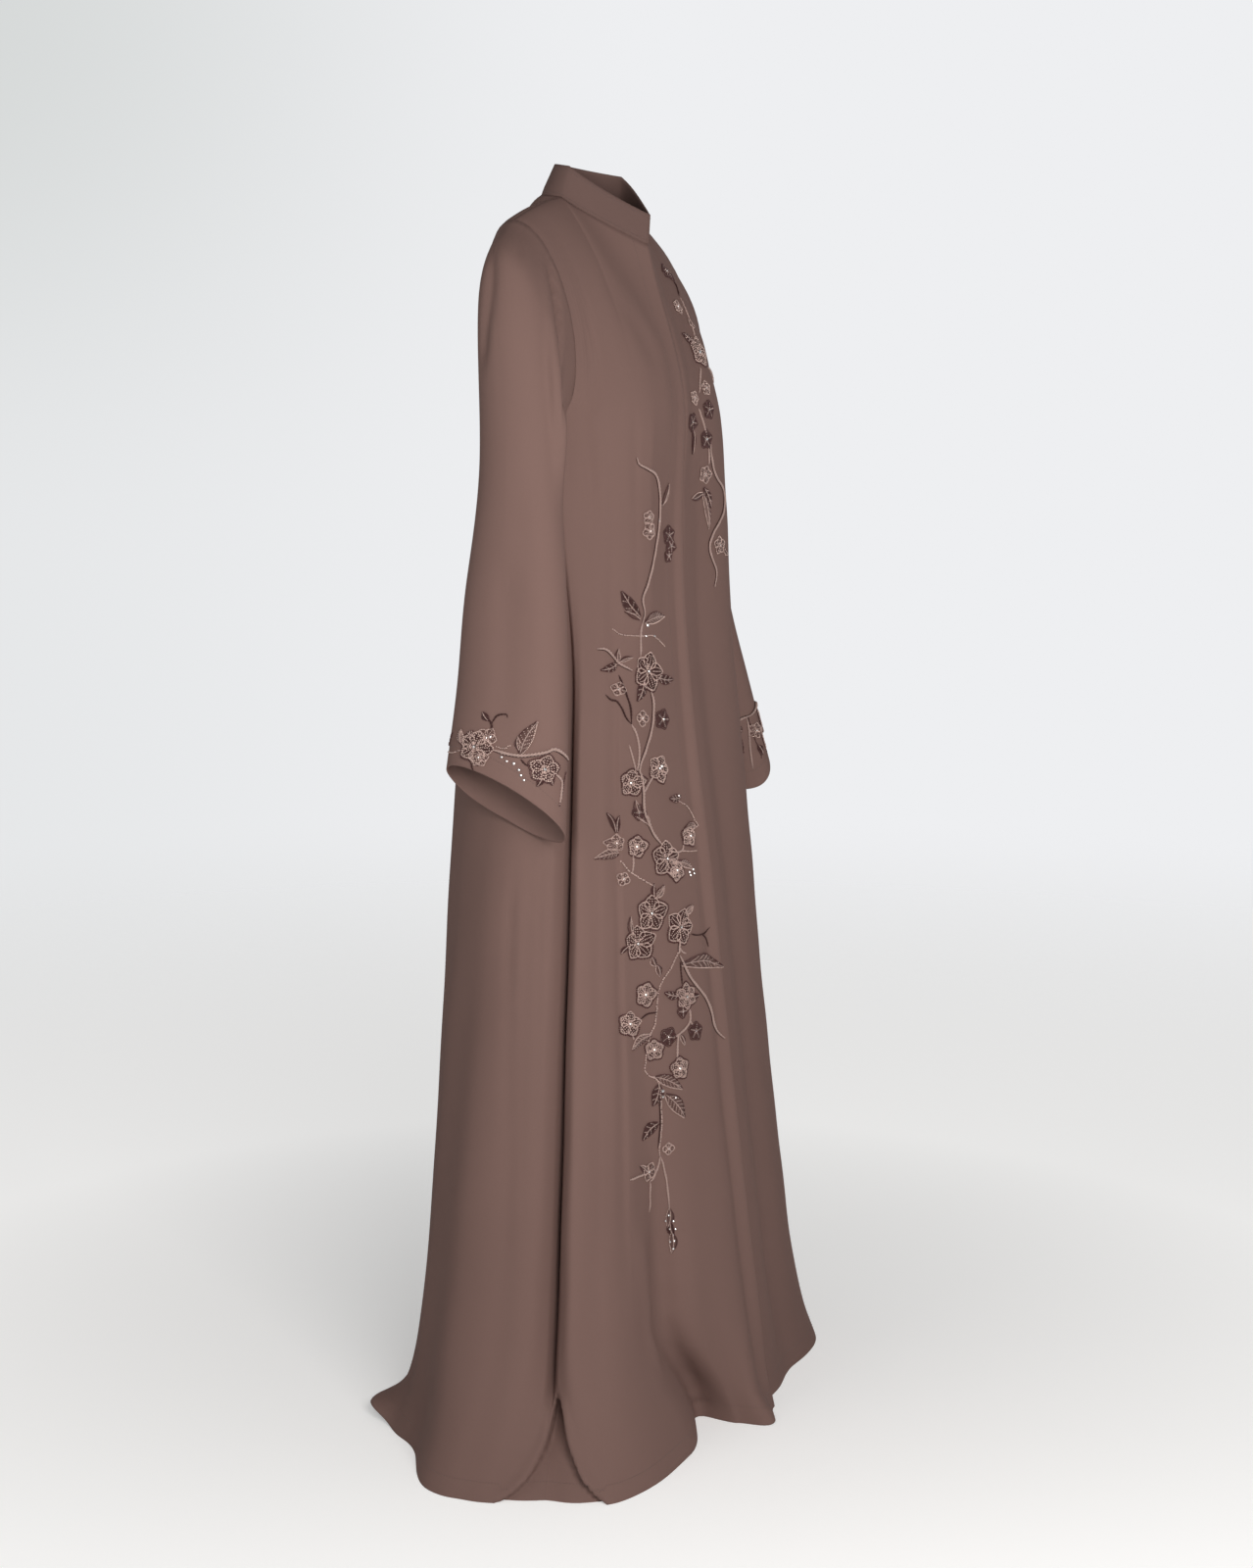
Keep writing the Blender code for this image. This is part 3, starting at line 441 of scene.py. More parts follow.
def sleeveGrid(armhole, rings):
    steps = np.linalg.norm(np.roll(armhole, -1, axis=0) - armhole, axis=1)
    turns = np.concatenate(([0.0], np.cumsum(steps)[:-1])) / steps.sum() * 2.0 * math.pi
    across, ahead = np.cos(turns)[:, None], np.sin(turns)[:, None]
    stations = [armhole]
    for ring in rings:
        centre, outward, forward = (np.array(part) for part in ring)
        stations.append(centre + outward * across + forward * ahead)
    middles = [station.mean(axis=0) for station in stations]
    reach = np.linalg.norm(np.diff(middles, axis=0), axis=1)
    knots = list(np.concatenate(([0.0], np.cumsum(reach))) / reach.sum())
    turns = np.degrees(turns)
    rows = []
    for at in sleeveLevels:
        middle, ring = smoothValue(knots, middles, at), smoothValue(knots, stations, at)
        away = unit(ring - middle)
        for fold in sleeveFolds:
            centre, half = (fold.start + fold.end) / 2.0, (fold.end - fold.start) / 2.0
            reachShare = float(hump(at - centre, half))
            near = hump(turnBetween(turns, fold.turn), fold.width)
            ring = ring + away * (fold.depth * reachShare * near)[:, None]
        rows.append(ring)
    return np.array(rows), turns


def collarGrid(neckline):
    rise = (neckline[:, 1] - neckFront[1]) / (neckBack[1] - neckFront[1])
    height = collarHeight["front"] + (collarHeight["back"] - collarHeight["front"]) * rise
    inward = -unit(neckline * np.array((1.0, 1.0, 0.0)))
    lean = inward * (collarLean["front"] + collarLean["backMore"] * rise)[:, None]
    lean = lean + np.array((0.0, -collarLean["forward"], 0.0))
    rows = []
    for t in np.linspace(0.0, 1.0, collarRowCount + 1):
        rows.append(neckline + np.array((0.0, 0.0, 1.0)) * (height * t)[:, None] + lean * t)
    return np.array(rows)


def gridNormals(grid, closed):
    if closed:
        roundStep = np.roll(grid, -1, axis=1) - np.roll(grid, 1, axis=1)
    else:
        roundStep = np.gradient(grid, axis=1, edge_order=2)
    normals = unit(np.cross(roundStep, np.gradient(grid, axis=0, edge_order=2)))
    away = grid - grid.mean(axis=1, keepdims=True)
    if not closed:
        away = grid * np.array((1.0, 1.0, 0.0))
    outward = math.copysign(1.0, float(np.sum(normals * away)))
    return normals * outward, outward


def setUpSurfaces():
    panels = {
        "front_right": rightSideFolds + frontRightFolds,
        "front_left": leftSideFolds + frontLeftFolds,
        "back": rightSideFolds + leftSideFolds + backFolds,
    }
    found = {}
    for name, folds in panels.items():
        columns = panelColumns(name, folds)
        found[name] = {
            "points": panelGrid(columns, folds), "across": columns["angle"], "along": levels,
            "closed": False, "columns": columns,
        }
    base = len(bodyLevels) - 1
    for side, seamColumn in (("right", -1), ("left", 0)):
        front, back = found["front_" + side]["points"], found["back"]["points"]
        armhole = np.concatenate((front[:base - 1:-1, -1], back[base + 1:-1, seamColumn]))
        points, turns = sleeveGrid(closerRing(armhole, armholeFineness), sleeveRings[side])
        found["sleeve_" + side] = {
            "points": points, "across": turns, "along": sleeveLevels, "closed": True,
        }
    right, _, back = (found[name]["points"][-1] for name in panels)
    firstRight, firstLeft = len(lapAngles["right"]), len(lapAngles["left"])
    neckRight = right[firstRight:firstRight + neckCount["front"]]
    neckBackLine = back[shoulderCount:shoulderCount + 2 * neckCount["back"] + 1][::-1]
    shares = found["front_left"]["columns"]["share"][firstLeft:firstLeft + neckCount["front"] + 1]
    neckLeft = topLine("front", shares, np.ones(len(shares), bool))[0]
    neckLeft[0, 0] += collarParting
    collar = collarGrid(np.concatenate((neckRight, neckBackLine[:-1], neckLeft[::-1])))
    found["collar"] = {
        "points": collar, "across": np.arange(collar.shape[1], dtype=float),
        "along": np.linspace(0.0, 1.0, collarRowCount + 1), "closed": False,
    }
    for surface in found.values():
        surface["points"] = surface["points"] - np.array((0.0, 0.0, neckPointHeight))
        surface["normals"], surface["outward"] = gridNormals(surface["points"], surface["closed"])
    return found


surfaces = setUpSurfaces()
print("form laid out")


# Fractional row and column of a place given by the panel's own measures.
def gridPlace(surface, across, along):
    columns = surface["across"]
    if surface["closed"]:
        across = np.mod(across, 360.0)
        column = np.interp(across, np.append(columns, 360.0), np.arange(len(columns) + 1))
    elif columns[-1] < columns[0]:
        column = np.interp(-np.asarray(across), -columns, np.arange(len(columns)))
    else:
        column = np.interp(across, columns, np.arange(len(columns)))
    return np.interp(along, surface["along"], np.arange(len(surface["along"]))), column


def readGrid(surface, values, across, along):
    row, column = gridPlace(surface, np.asarray(across, float), np.asarray(along, float))
    rows, count = values.shape[:2]
    r = np.clip(row.astype(int), 0, rows - 2)
    c = np.clip(column.astype(int), 0, count - 1 if surface["closed"] else count - 2)
    after = (c + 1) % count
    fr, fc = (row - r)[..., None], (column - c)[..., None]
    low = values[r, c] * (1 - fc) + values[r, after] * fc
    high = values[r + 1, c] * (1 - fc) + values[r + 1, after] * fc
    return low * (1 - fr) + high * fr


def onCloth(name, across, along, lift=0.0):
    surface = surfaces[name]
    point = readGrid(surface, surface["points"], across, along)
    normal = unit(readGrid(surface, surface["normals"], across, along))
    return point + normal * np.asarray(lift, float)[..., None], normal


def smoothPath(marks, count):
    marks = np.array(marks, float)
    ends = np.vstack((2 * marks[0] - marks[1], marks, 2 * marks[-1] - marks[-2]))
    at = np.linspace(0.0, len(marks) - 1, count)
    i = np.minimum(at.astype(int), len(marks) - 2)
    t = (at - i)[:, None]
    a, b, c, d = ends[i], ends[i + 1], ends[i + 2], ends[i + 3]
    square, cube = 2 * a - 5 * b + 4 * c - d, 3 * b - a - 3 * c + d
    return 0.5 * (2 * b + (c - a) * t + square * t**2 + cube * t**3)


# How far each point of a line of points lies along it, and values read off at other distances.
def runAlong(points):
    steps = np.linalg.norm(np.diff(points, axis=0), axis=1)
    return np.concatenate(([0.0], np.cumsum(steps)))


def readAlong(at, run, values):
    return np.stack([np.interp(at, run, values[:, k]) for k in range(3)], axis=-1)


# Soft troughs (below 0) and ridges: a line of places on the panel, its half width and depth in
# metres. Each fades in and out over a share of its length.
creaseSteps = 28
creaseFade = 0.25
creases = {
    "front_right": (
        (((-41.5, 1.319), (-36.2, 1.276), (-26.9, 1.252), (-24.8, 1.221)), 0.012, -0.0012),
        (((-22.2, 1.34), (-18.9, 1.287), (-14.6, 1.254), (-18.1, 1.201),
            (-13.6, 1.134)), 0.013, 0.0016),
        (((-42.8, 1.196), (-42, 1.123), (-41.7, 1.024), (-38.7, 0.936)), 0.007, -0.0014),
        (((-31.6, 1.197), (-32.4, 1.112), (-32.5, 1.023), (-29.3, 0.934)), 0.007, 0.0012),
        (((-57.8, 1.198), (-56, 1.113), (-57, 1.025), (-58.2, 0.938), (-57, 0.806)), 0.008, 0.0015),
        (((-58.1, 1.302), (-63.4, 1.266), (-63, 1.205), (-60.1, 1.113),
            (-62, 1.048)), 0.009, -0.002),
        (((-48.6, 0.684), (-51.1, 0.542), (-52.3, 0.379), (-52.3, 0.217)), 0.006, -0.0012),
        (((-55.2, 0.685), (-56.1, 0.544), (-56.6, 0.382), (-56.7, 0.221)), 0.006, 0.001),
        (((-63.6, 0.677), (-63.1, 0.548), (-62.5, 0.387), (-62.1, 0.226)), 0.012, 0.0014),
        (((-33.4, 0.38), (-33.5, 0.283), (-32.6, 0.208), (-31.9, 0.138), (-34, 0.077), (-34, 0.029),
            (-34, -0.12)), 0.013, -0.006),
        (((-42.4, 0.28), (-40.9, 0.206), (-40.3, 0.131), (-44.9, 0.082)), 0.015, 0.005),
    ),
    "sleeve_right": (
        (((35, 0.004), (59, 0.031), (81.3, 0.054), (97, 0.1), (95, 0.19),
            (90.9, 0.264)), 0.0045, -0.0110),
        (((29.9, 0.022), (59.5, 0.059), (79.1, 0.101), (81.6, 0.171), (81.6, 0.233),
            (82.5, 0.29)), 0.006, 0.003),
        (((-8.8, 0.044), (-9.3, 0.136), (-25.9, 0.189), (-42.3, 0.231)), 0.009, -0.0045),
        (((5.1, 0.002), (18.6, 0.045), (33.9, 0.087)), 0.004, -0.0016),
        (((16.4, 0), (30.5, 0.03), (50.4, 0.068)), 0.004, -0.0016),
        (((9, 0.508), (7.6, 0.703), (10.6, 0.959)), 0.016, -0.002),
        (((45.3, 0.347), (44.8, 0.57), (48.1, 0.875)), 0.016, 0.0018),
    ),
    "back": (
        (((273.3, 0.691), (272.8, 0.607), (274.2, 0.499), (275.7, 0.333)), 0.007, -0.0018),
        (((275.3, 0.691), (275.4, 0.607), (276.5, 0.5), (278.2, 0.334),
            (279.4, 0.197)), 0.008, 0.0014),
        (((279.7, 0.708), (280.1, 0.622), (281, 0.501), (282.4, 0.335),
            (283.9, 0.196)), 0.005, -0.0016),
        (((96, 0.66), (92, 0.50), (90, 0.33), (88, 0.20)), 0.008, -0.0016),
        (((205, 1.36), (202, 1.25), (200, 1.10)), 0.016, -0.0022),
        (((158, 1.36), (161, 1.24), (163, 1.08)), 0.014, -0.0020),
    ),
    "front_left": (
        (((20, 1.40), (18, 1.25), (17, 1.05)), 0.014, -0.0022),
        (((34, 1.405), (31, 1.28), (28, 1.15)), 0.015, -0.0020),
    ),
    "sleeve_left": (
        (((40, 0.01), (70, 0.07), (88, 0.17), (92, 0.27)), 0.007, -0.004),
        (((-8, 0.05), (-12, 0.13), (-28, 0.20), (-40, 0.26)), 0.009, -0.0035),
        (((12, 0.50), (9, 0.72), (13, 0.95)), 0.016, -0.0018),
    ),
}


def addCreases(name, surface):
    points, normals = surface["points"], surface["normals"]
    total = np.zeros(points.shape[:2])
    for marks, width, depth in creases.get(name, ()):
        path = smoothPath(marks, creaseSteps)
        line = onCloth(name, path[:, 0], path[:, 1])[0]
        gap = np.linalg.norm(points[:, :, None] - line, axis=-1)
        t = gap.argmin(axis=-1) / (len(line) - 1.0)
        fade = ease(t / creaseFade) * ease((1.0 - t) / creaseFade)
        total += depth * fade * np.exp(-(gap.min(axis=-1) / width) ** 2)
    surface["points"] = points + normals * total[..., None]


# A slow, uneven waver that no two pieces share, held still near the edges.
waver = {
    "amount": 0.0007, "lengths": (0.06, 0.20), "count": 9, "seed": 41,
    "upShare": 0.35, "phases": (0, 6.28), "hold": 0.03,
}


def addWaver(surface, rng):
    points, normals = surface["points"], surface["normals"]
    total = np.zeros(points.shape[:2])
    for _ in range(waver["count"]):
        length = rng.uniform(*waver["lengths"])
        direction = unit(rng.normal(size=3) * np.array((1.0, 1.0, waver["upShare"])))
        total += np.sin(points @ direction * 2 * math.pi / length + rng.uniform(*waver["phases"]))
    total = total * waver["amount"] / math.sqrt(waver["count"])
    surface["points"] = points + normals * total[..., None]


# Seams lie a little into the cloth; the hem and cuffs are turned up and stitched.
seamDip = {"depth": 0.0007, "width": 0.0055}
hemBand = {"height": 0.021, "wall": 0.0019, "stitchDip": 0.0003, "stitchWidth": 0.0016}
yokeTurn = {"start": 0.03, "reach": 0.06}


def edgeDistance(surface, edge):
    points = surface["points"]
    if edge in ("bottom", "top"):
        steps = np.linalg.norm(np.diff(points, axis=0), axis=-1)
        run = np.concatenate((np.zeros((1, points.shape[1])), np.cumsum(steps, axis=0)))
        return run if edge == "bottom" else run[-1:] - run
    steps = np.linalg.norm(np.diff(points, axis=1), axis=-1)
    run = np.concatenate((np.zeros((points.shape[0], 1)), np.cumsum(steps, axis=1)), axis=1)
    return run if edge == "first" else run[:, -1:] - run


seamEdges = {
    "back": ("top", "first", "last"), "front_right": ("top", "last"), "front_left": ("top", "last"),
    "sleeve_right": ("bottom",), "sleeve_left": ("bottom",), "collar": ("bottom",),
}
hemEdge = {
    "back": "bottom", "front_right": "bottom", "front_left": "bottom",
    "sleeve_right": "top", "sleeve_left": "top",
}


def bell(offset, width):
    return np.exp(-(offset / width) ** 2)


def finishSurface(name, surface):
    points, normals = surface["points"], surface["normals"]
    dip = np.zeros(points.shape[:2])
    for edge in seamEdges[name]:
        dip = np.maximum(dip, bell(edgeDistance(surface, edge), seamDip["width"]))
    dip = dip * seamDip["depth"]
    wall = np.full(points.shape[:2], collarWall if name == "collar" else clothWall)
    if name in hemEdge:
        away = edgeDistance(surface, hemEdge[name])
        dip = dip + hemBand["stitchDip"] * bell(away - hemBand["height"], hemBand["stitchWidth"])
        wall = np.where(away < hemBand["height"], hemBand["wall"], wall)
    inward = normals
    if name in ("back", "front_right", "front_left"):
        above = surface["along"][:, None, None] - underarmHeight - yokeTurn["start"]
        below = ease(above / yokeTurn["reach"])
        inward = unit(unit(points * np.array((1.0, 1.0, 0.0))) * (1.0 - below) + normals * below)
    surface["points"] = points - inward * dip[..., None]
    surface["wall"] = wall
    surface["normals"], _ = gridNormals(surface["points"], surface["closed"])


rng = np.random.default_rng(waver["seed"])
for name, surface in surfaces.items():
    if name != "collar":
        addCreases(name, surface)
        held = surface["points"].copy()
        addWaver(surface, rng)
        hold = np.ones(surface["points"].shape[:2])
        for edge in seamEdges[name] + (() if name.startswith("sleeve") else ("first", "last")):
            hold = np.minimum(hold, ease(edgeDistance(surface, edge) / waver["hold"]))
        surface["points"] = held + (surface["points"] - held) * hold[..., None]
    finishSurface(name, surface)
print("creases and waver added")


def meshObject(name, verts, faces, uvs=None):
    mesh = bpy.data.meshes.new(name)
    mesh.from_pydata(verts, [], faces)
    if uvs is not None:
        layer = mesh.uv_layers.new(name="clothMetres")
        loopVerts = np.empty(len(mesh.loops), int)
        mesh.loops.foreach_get("vertex_index", loopVerts)
        layer.data.foreach_set("uv", np.asarray(uvs, np.float32)[loopVerts].ravel())
    mesh.shade_smooth()
    thing = bpy.data.objects.new(name, mesh)
    bpy.context.scene.collection.objects.link(thing)
    return thing


edgeRound = 0.35


# A thin closed wall on a surface, its free edges rounded.
def makeShell(name, surface):
    outer, wall = surface["points"], surface["wall"][..., None]
    inner = outer - surface["normals"] * wall
    closed = surface["closed"]
    rows, count = outer.shape[:2]
    middle = (outer + inner) / 2.0
    downOut = unit(outer[0] - outer[1]) * wall[0] * edgeRound
    upOut = unit(outer[-1] - outer[-2]) * wall[-1] * edgeRound
    layers = [outer, inner, (middle[0] + downOut)[None], (middle[-1] + upOut)[None]]
    uv = np.stack((edgeDistance(surface, "first"), edgeDistance(surface, "bottom")), axis=-1)
    uvLayers = [uv, uv, uv[:1], uv[-1:]]
    if not closed:
        firstOut = unit(outer[:, 0] - outer[:, 1]) * wall[:, 0] * edgeRound
        lastOut = unit(outer[:, -1] - outer[:, -2]) * wall[:, -1] * edgeRound
        layers += [(middle[:, 0] + firstOut)[None], (middle[:, -1] + lastOut)[None]]
        uvLayers += [uv[:, 0][None], uv[:, -1][None]]
    verts = np.concatenate([layer.reshape(-1, 3) for layer in layers])
    uvs = np.concatenate([layer.reshape(-1, 2) for layer in uvLayers])
    starts = np.cumsum([0] + [layer.shape[0] * layer.shape[1] for layer in layers])
    outs = np.arange(rows * count).reshape(rows, count)
    ins = outs + starts[1]

    def strip(first, second, flip, ring=False):
        if ring:
            a, b, c, d = first, np.roll(first, -1), np.roll(second, -1), second
        else:
            a, b, c, d = first[:-1], first[1:], second[1:], second[:-1]
        quads = np.stack((a, b, c, d), axis=-1)
        return quads[:, ::-1] if flip else quads

    flip = surface["outward"] < 0
    faces = []
    for r in range(rows - 1):
        faces.append(strip(outs[r], outs[r + 1], flip, closed))
        faces.append(strip(ins[r], ins[r + 1], not flip, closed))
    low, high = starts[2] + np.arange(count), starts[3] + np.arange(count)
    faces += [strip(low, outs[0], flip, closed), strip(ins[0], low, flip, closed)]
    faces += [strip(outs[-1], high, flip, closed), strip(high, ins[-1], flip, closed)]
    if not closed:
        first, last = starts[4] + np.arange(rows), starts[5] + np.arange(rows)
        faces += [strip(outs[:, 0], first, flip), strip(first, ins[:, 0], flip)]
        faces += [strip(last, outs[:, -1], flip), strip(ins[:, -1], last, flip)]
        ends = np.array((
            (low[0], outs[0, 0], first[0], ins[0, 0]),
            (ins[0, -1], last[0], outs[0, -1], low[-1]),
            (ins[-1, 0], first[-1], outs[-1, 0], high[0]),
            (high[-1], outs[-1, -1], last[-1], ins[-1, -1]),
        ))
        faces.append(ends[:, ::-1] if flip else ends)
    return meshObject(name, verts.tolist(), np.concatenate(faces).tolist(), uvs)


# Give an input a value, or the output of another node.
def feed(tree, socket, value):
    if isinstance(value, bpy.types.NodeSocket):
        tree.links.new(value, socket)
    else:
        socket.default_value = value


def feedAll(tree, node, inputs):
    for key, value in inputs.items():
        feed(tree, node.inputs[key], value)


def addNode(tree, kind, inputs=None, **values):
    node = tree.nodes.new(kind)
    for key, value in values.items():
        setattr(node, key, value)
    feedAll(tree, node, inputs or {})
    return node


def mathNode(tree, operation, first, second):
    return addNode(tree, "ShaderNodeMath", {0: first, 1: second}, operation=operation).outputs[0]


def mixColours(tree, factor, first, second):
    mix = addNode(tree, "ShaderNodeMix", {"A": first, "B": second, "Factor": factor},
                  data_type="RGBA")
    return mix.outputs["Result"]


def newMaterial(name):
    material = bpy.data.materials.new(name)
    material.use_nodes = True
    tree = material.node_tree
    return material, tree, tree.nodes["Principled BSDF"]


def solid(colour, scale=1.0):
    return (*(min(part * scale, 1.0) for part in colour), 1.0)


# Crepe: a pebbled weave from two crossed thread waves broken up by noise, in cloth metres.
crepeLook = {
    "threadsPerMetre": 1900.0, "threadWaver": 1.5, "threadDetail": 1.0, "weaveShare": 0.4,
    "pebbleSize": 620.0, "pebbleDetail": 2.0, "pebbleShade": 0.10,
    "patchSize": 5.0, "patchStrength": 0.10, "bump": 0.25, "bumpHeight": 0.0003,
}
crepeShader = {
    "Roughness": 0.82, "Specular IOR Level": 0.12, "Sheen Weight": 0.05, "Sheen Roughness": 0.45,
    "Sheen Tint": (1.0, 0.62, 0.52, 1.0),
}


def crepeGroup():
    tree = bpy.data.node_groups.new("crepeWeave", "ShaderNodeTree")
    for name, way, kind in (
        ("Colour", "INPUT", "Color"), ("Place", "INPUT", "Vector"),
        ("Colour", "OUTPUT", "Color"), ("Height", "OUTPUT", "Float"),
    ):
        tree.interface.new_socket(name, in_out=way, socket_type="NodeSocket" + kind)
    entry = addNode(tree, "NodeGroupInput").outputs
    leave = addNode(tree, "NodeGroupOutput")
    place = entry["Place"]
    # A band wave of scale 1 repeats 20 times in 2 pi.
    threadScale = crepeLook["threadsPerMetre"] / 20.0 * 6.2832 / 2.0
    waves = [
        addNode(tree, "ShaderNodeTexWave", {
            "Vector": place, "Scale": threadScale, "Distortion": crepeLook["threadWaver"],
            "Detail": crepeLook["threadDetail"],
        }, wave_type="BANDS", bands_direction=direction).outputs["Fac"]
        for direction in ("X", "Y")
    ]
    pebble = addNode(tree, "ShaderNodeTexNoise", {
        "Vector": place, "Scale": crepeLook["pebbleSize"], "Detail": crepeLook["pebbleDetail"],
    }).outputs["Fac"]
    patch = addNode(tree, "ShaderNodeTexNoise", {
        "Vector": place, "Scale": crepeLook["patchSize"],
    }).outputs["Fac"]
    weave = mathNode(tree, "MULTIPLY", waves[0], waves[1])
    height = mathNode(tree, "ADD",
                      mathNode(tree, "MULTIPLY", weave, crepeLook["weaveShare"]), pebble)
    # The colour is painted darker in the pebbles' hollows and lighter on their tops, by the same
    # noise that raises the bump: painted shade. The patch noise adds a slow change of tone.
    shade = mathNode(tree, "ADD", mathNode(tree, "MULTIPLY", patch, crepeLook["patchStrength"]),
                     1.0 - crepeLook["patchStrength"] / 2.0 - crepeLook["pebbleShade"] / 2.0)
    shade = mathNode(tree, "ADD", shade,
                     mathNode(tree, "MULTIPLY", pebble, crepeLook["pebbleShade"]))
    shaded = addNode(tree, "ShaderNodeVectorMath", {0: entry["Colour"], "Scale": shade},
                     operation="SCALE").outputs[0]
    feedAll(tree, leave, {"Colour": shaded, "Height": height})
    return tree


crepeTree = crepeGroup()


def crepeMaterial(name, colour):
    material, tree, shader = newMaterial(name)
    place = addNode(tree, "ShaderNodeUVMap", uv_map="clothMetres")
    weave = addNode(tree, "ShaderNodeGroup", node_tree=crepeTree)
    feedAll(tree, weave, {"Colour": solid(colour), "Place": place.outputs["UV"]})
    bump = addNode(tree, "ShaderNodeBump", {
        "Strength": crepeLook["bump"], "Distance": crepeLook["bumpHeight"],
        "Height": weave.outputs["Height"],
    })
    feedAll(tree, shader, {"Base Color": weave.outputs["Colour"], "Normal": bump.outputs["Normal"]})
    feedAll(tree, shader, crepeShader)
    return material


# What shows of each piece: its cut across and down in metres, and its area.
ClothPiece = namedtuple("ClothPiece", "slot colour flat area")
clothPieces = {
    # One crepe throughout: the right front and right sleeve hold the lit colour, while the left
    # pieces, the back and most of all the collar are painted darker, painted shade for how the
    # light falls on them.
    "back": ClothPiece("back_crepe", (0.188, 0.1140, 0.0975), (1.31, 1.49), 1.08),
    "front_right": ClothPiece("front_right_crepe", (0.193, 0.1170, 0.100), (0.50, 1.48), 0.375),
    "front_left": ClothPiece("front_left_crepe", (0.191, 0.1158, 0.099), (0.40, 1.46), 0.391),
    "sleeve_right": ClothPiece("sleeve_right_crepe", (0.193, 0.1170, 0.100), (0.51, 0.65), 0.1765),
    "sleeve_left": ClothPiece("sleeve_left_crepe", (0.191, 0.1158, 0.099), (0.51, 0.65), 0.1727),
    "collar": ClothPiece("collar_crepe", (0.151, 0.0925, 0.080), (0.435, 0.038), 0.0153),
}


def areaOf(points, closed):
    if closed:
        points = np.concatenate((points, points[:, :1]), axis=1)
    a, b, c, d = points[:-1, :-1], points[:-1, 1:], points[1:, 1:], points[1:, :-1]
    return float(np.linalg.norm(np.cross(c - a, d - b), axis=-1).sum() / 2.0)


for name, piece in clothPieces.items():
    surface = surfaces[name]
    shell = makeShell(name + "_cloth", surface)
    shell.data.materials.append(crepeMaterial(name + "Crepe", piece.colour))
    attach(shell, "root")
    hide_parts(name)
    girth = edgeDistance(surface, "first")[:, -1].max()
    length = edgeDistance(surface, "bottom")[-1].max()
    area = areaOf(surface["points"], surface["closed"])
    print(name, f"area {area:.3f} widest {girth:.3f} length {length:.3f}")
print("cloth made")


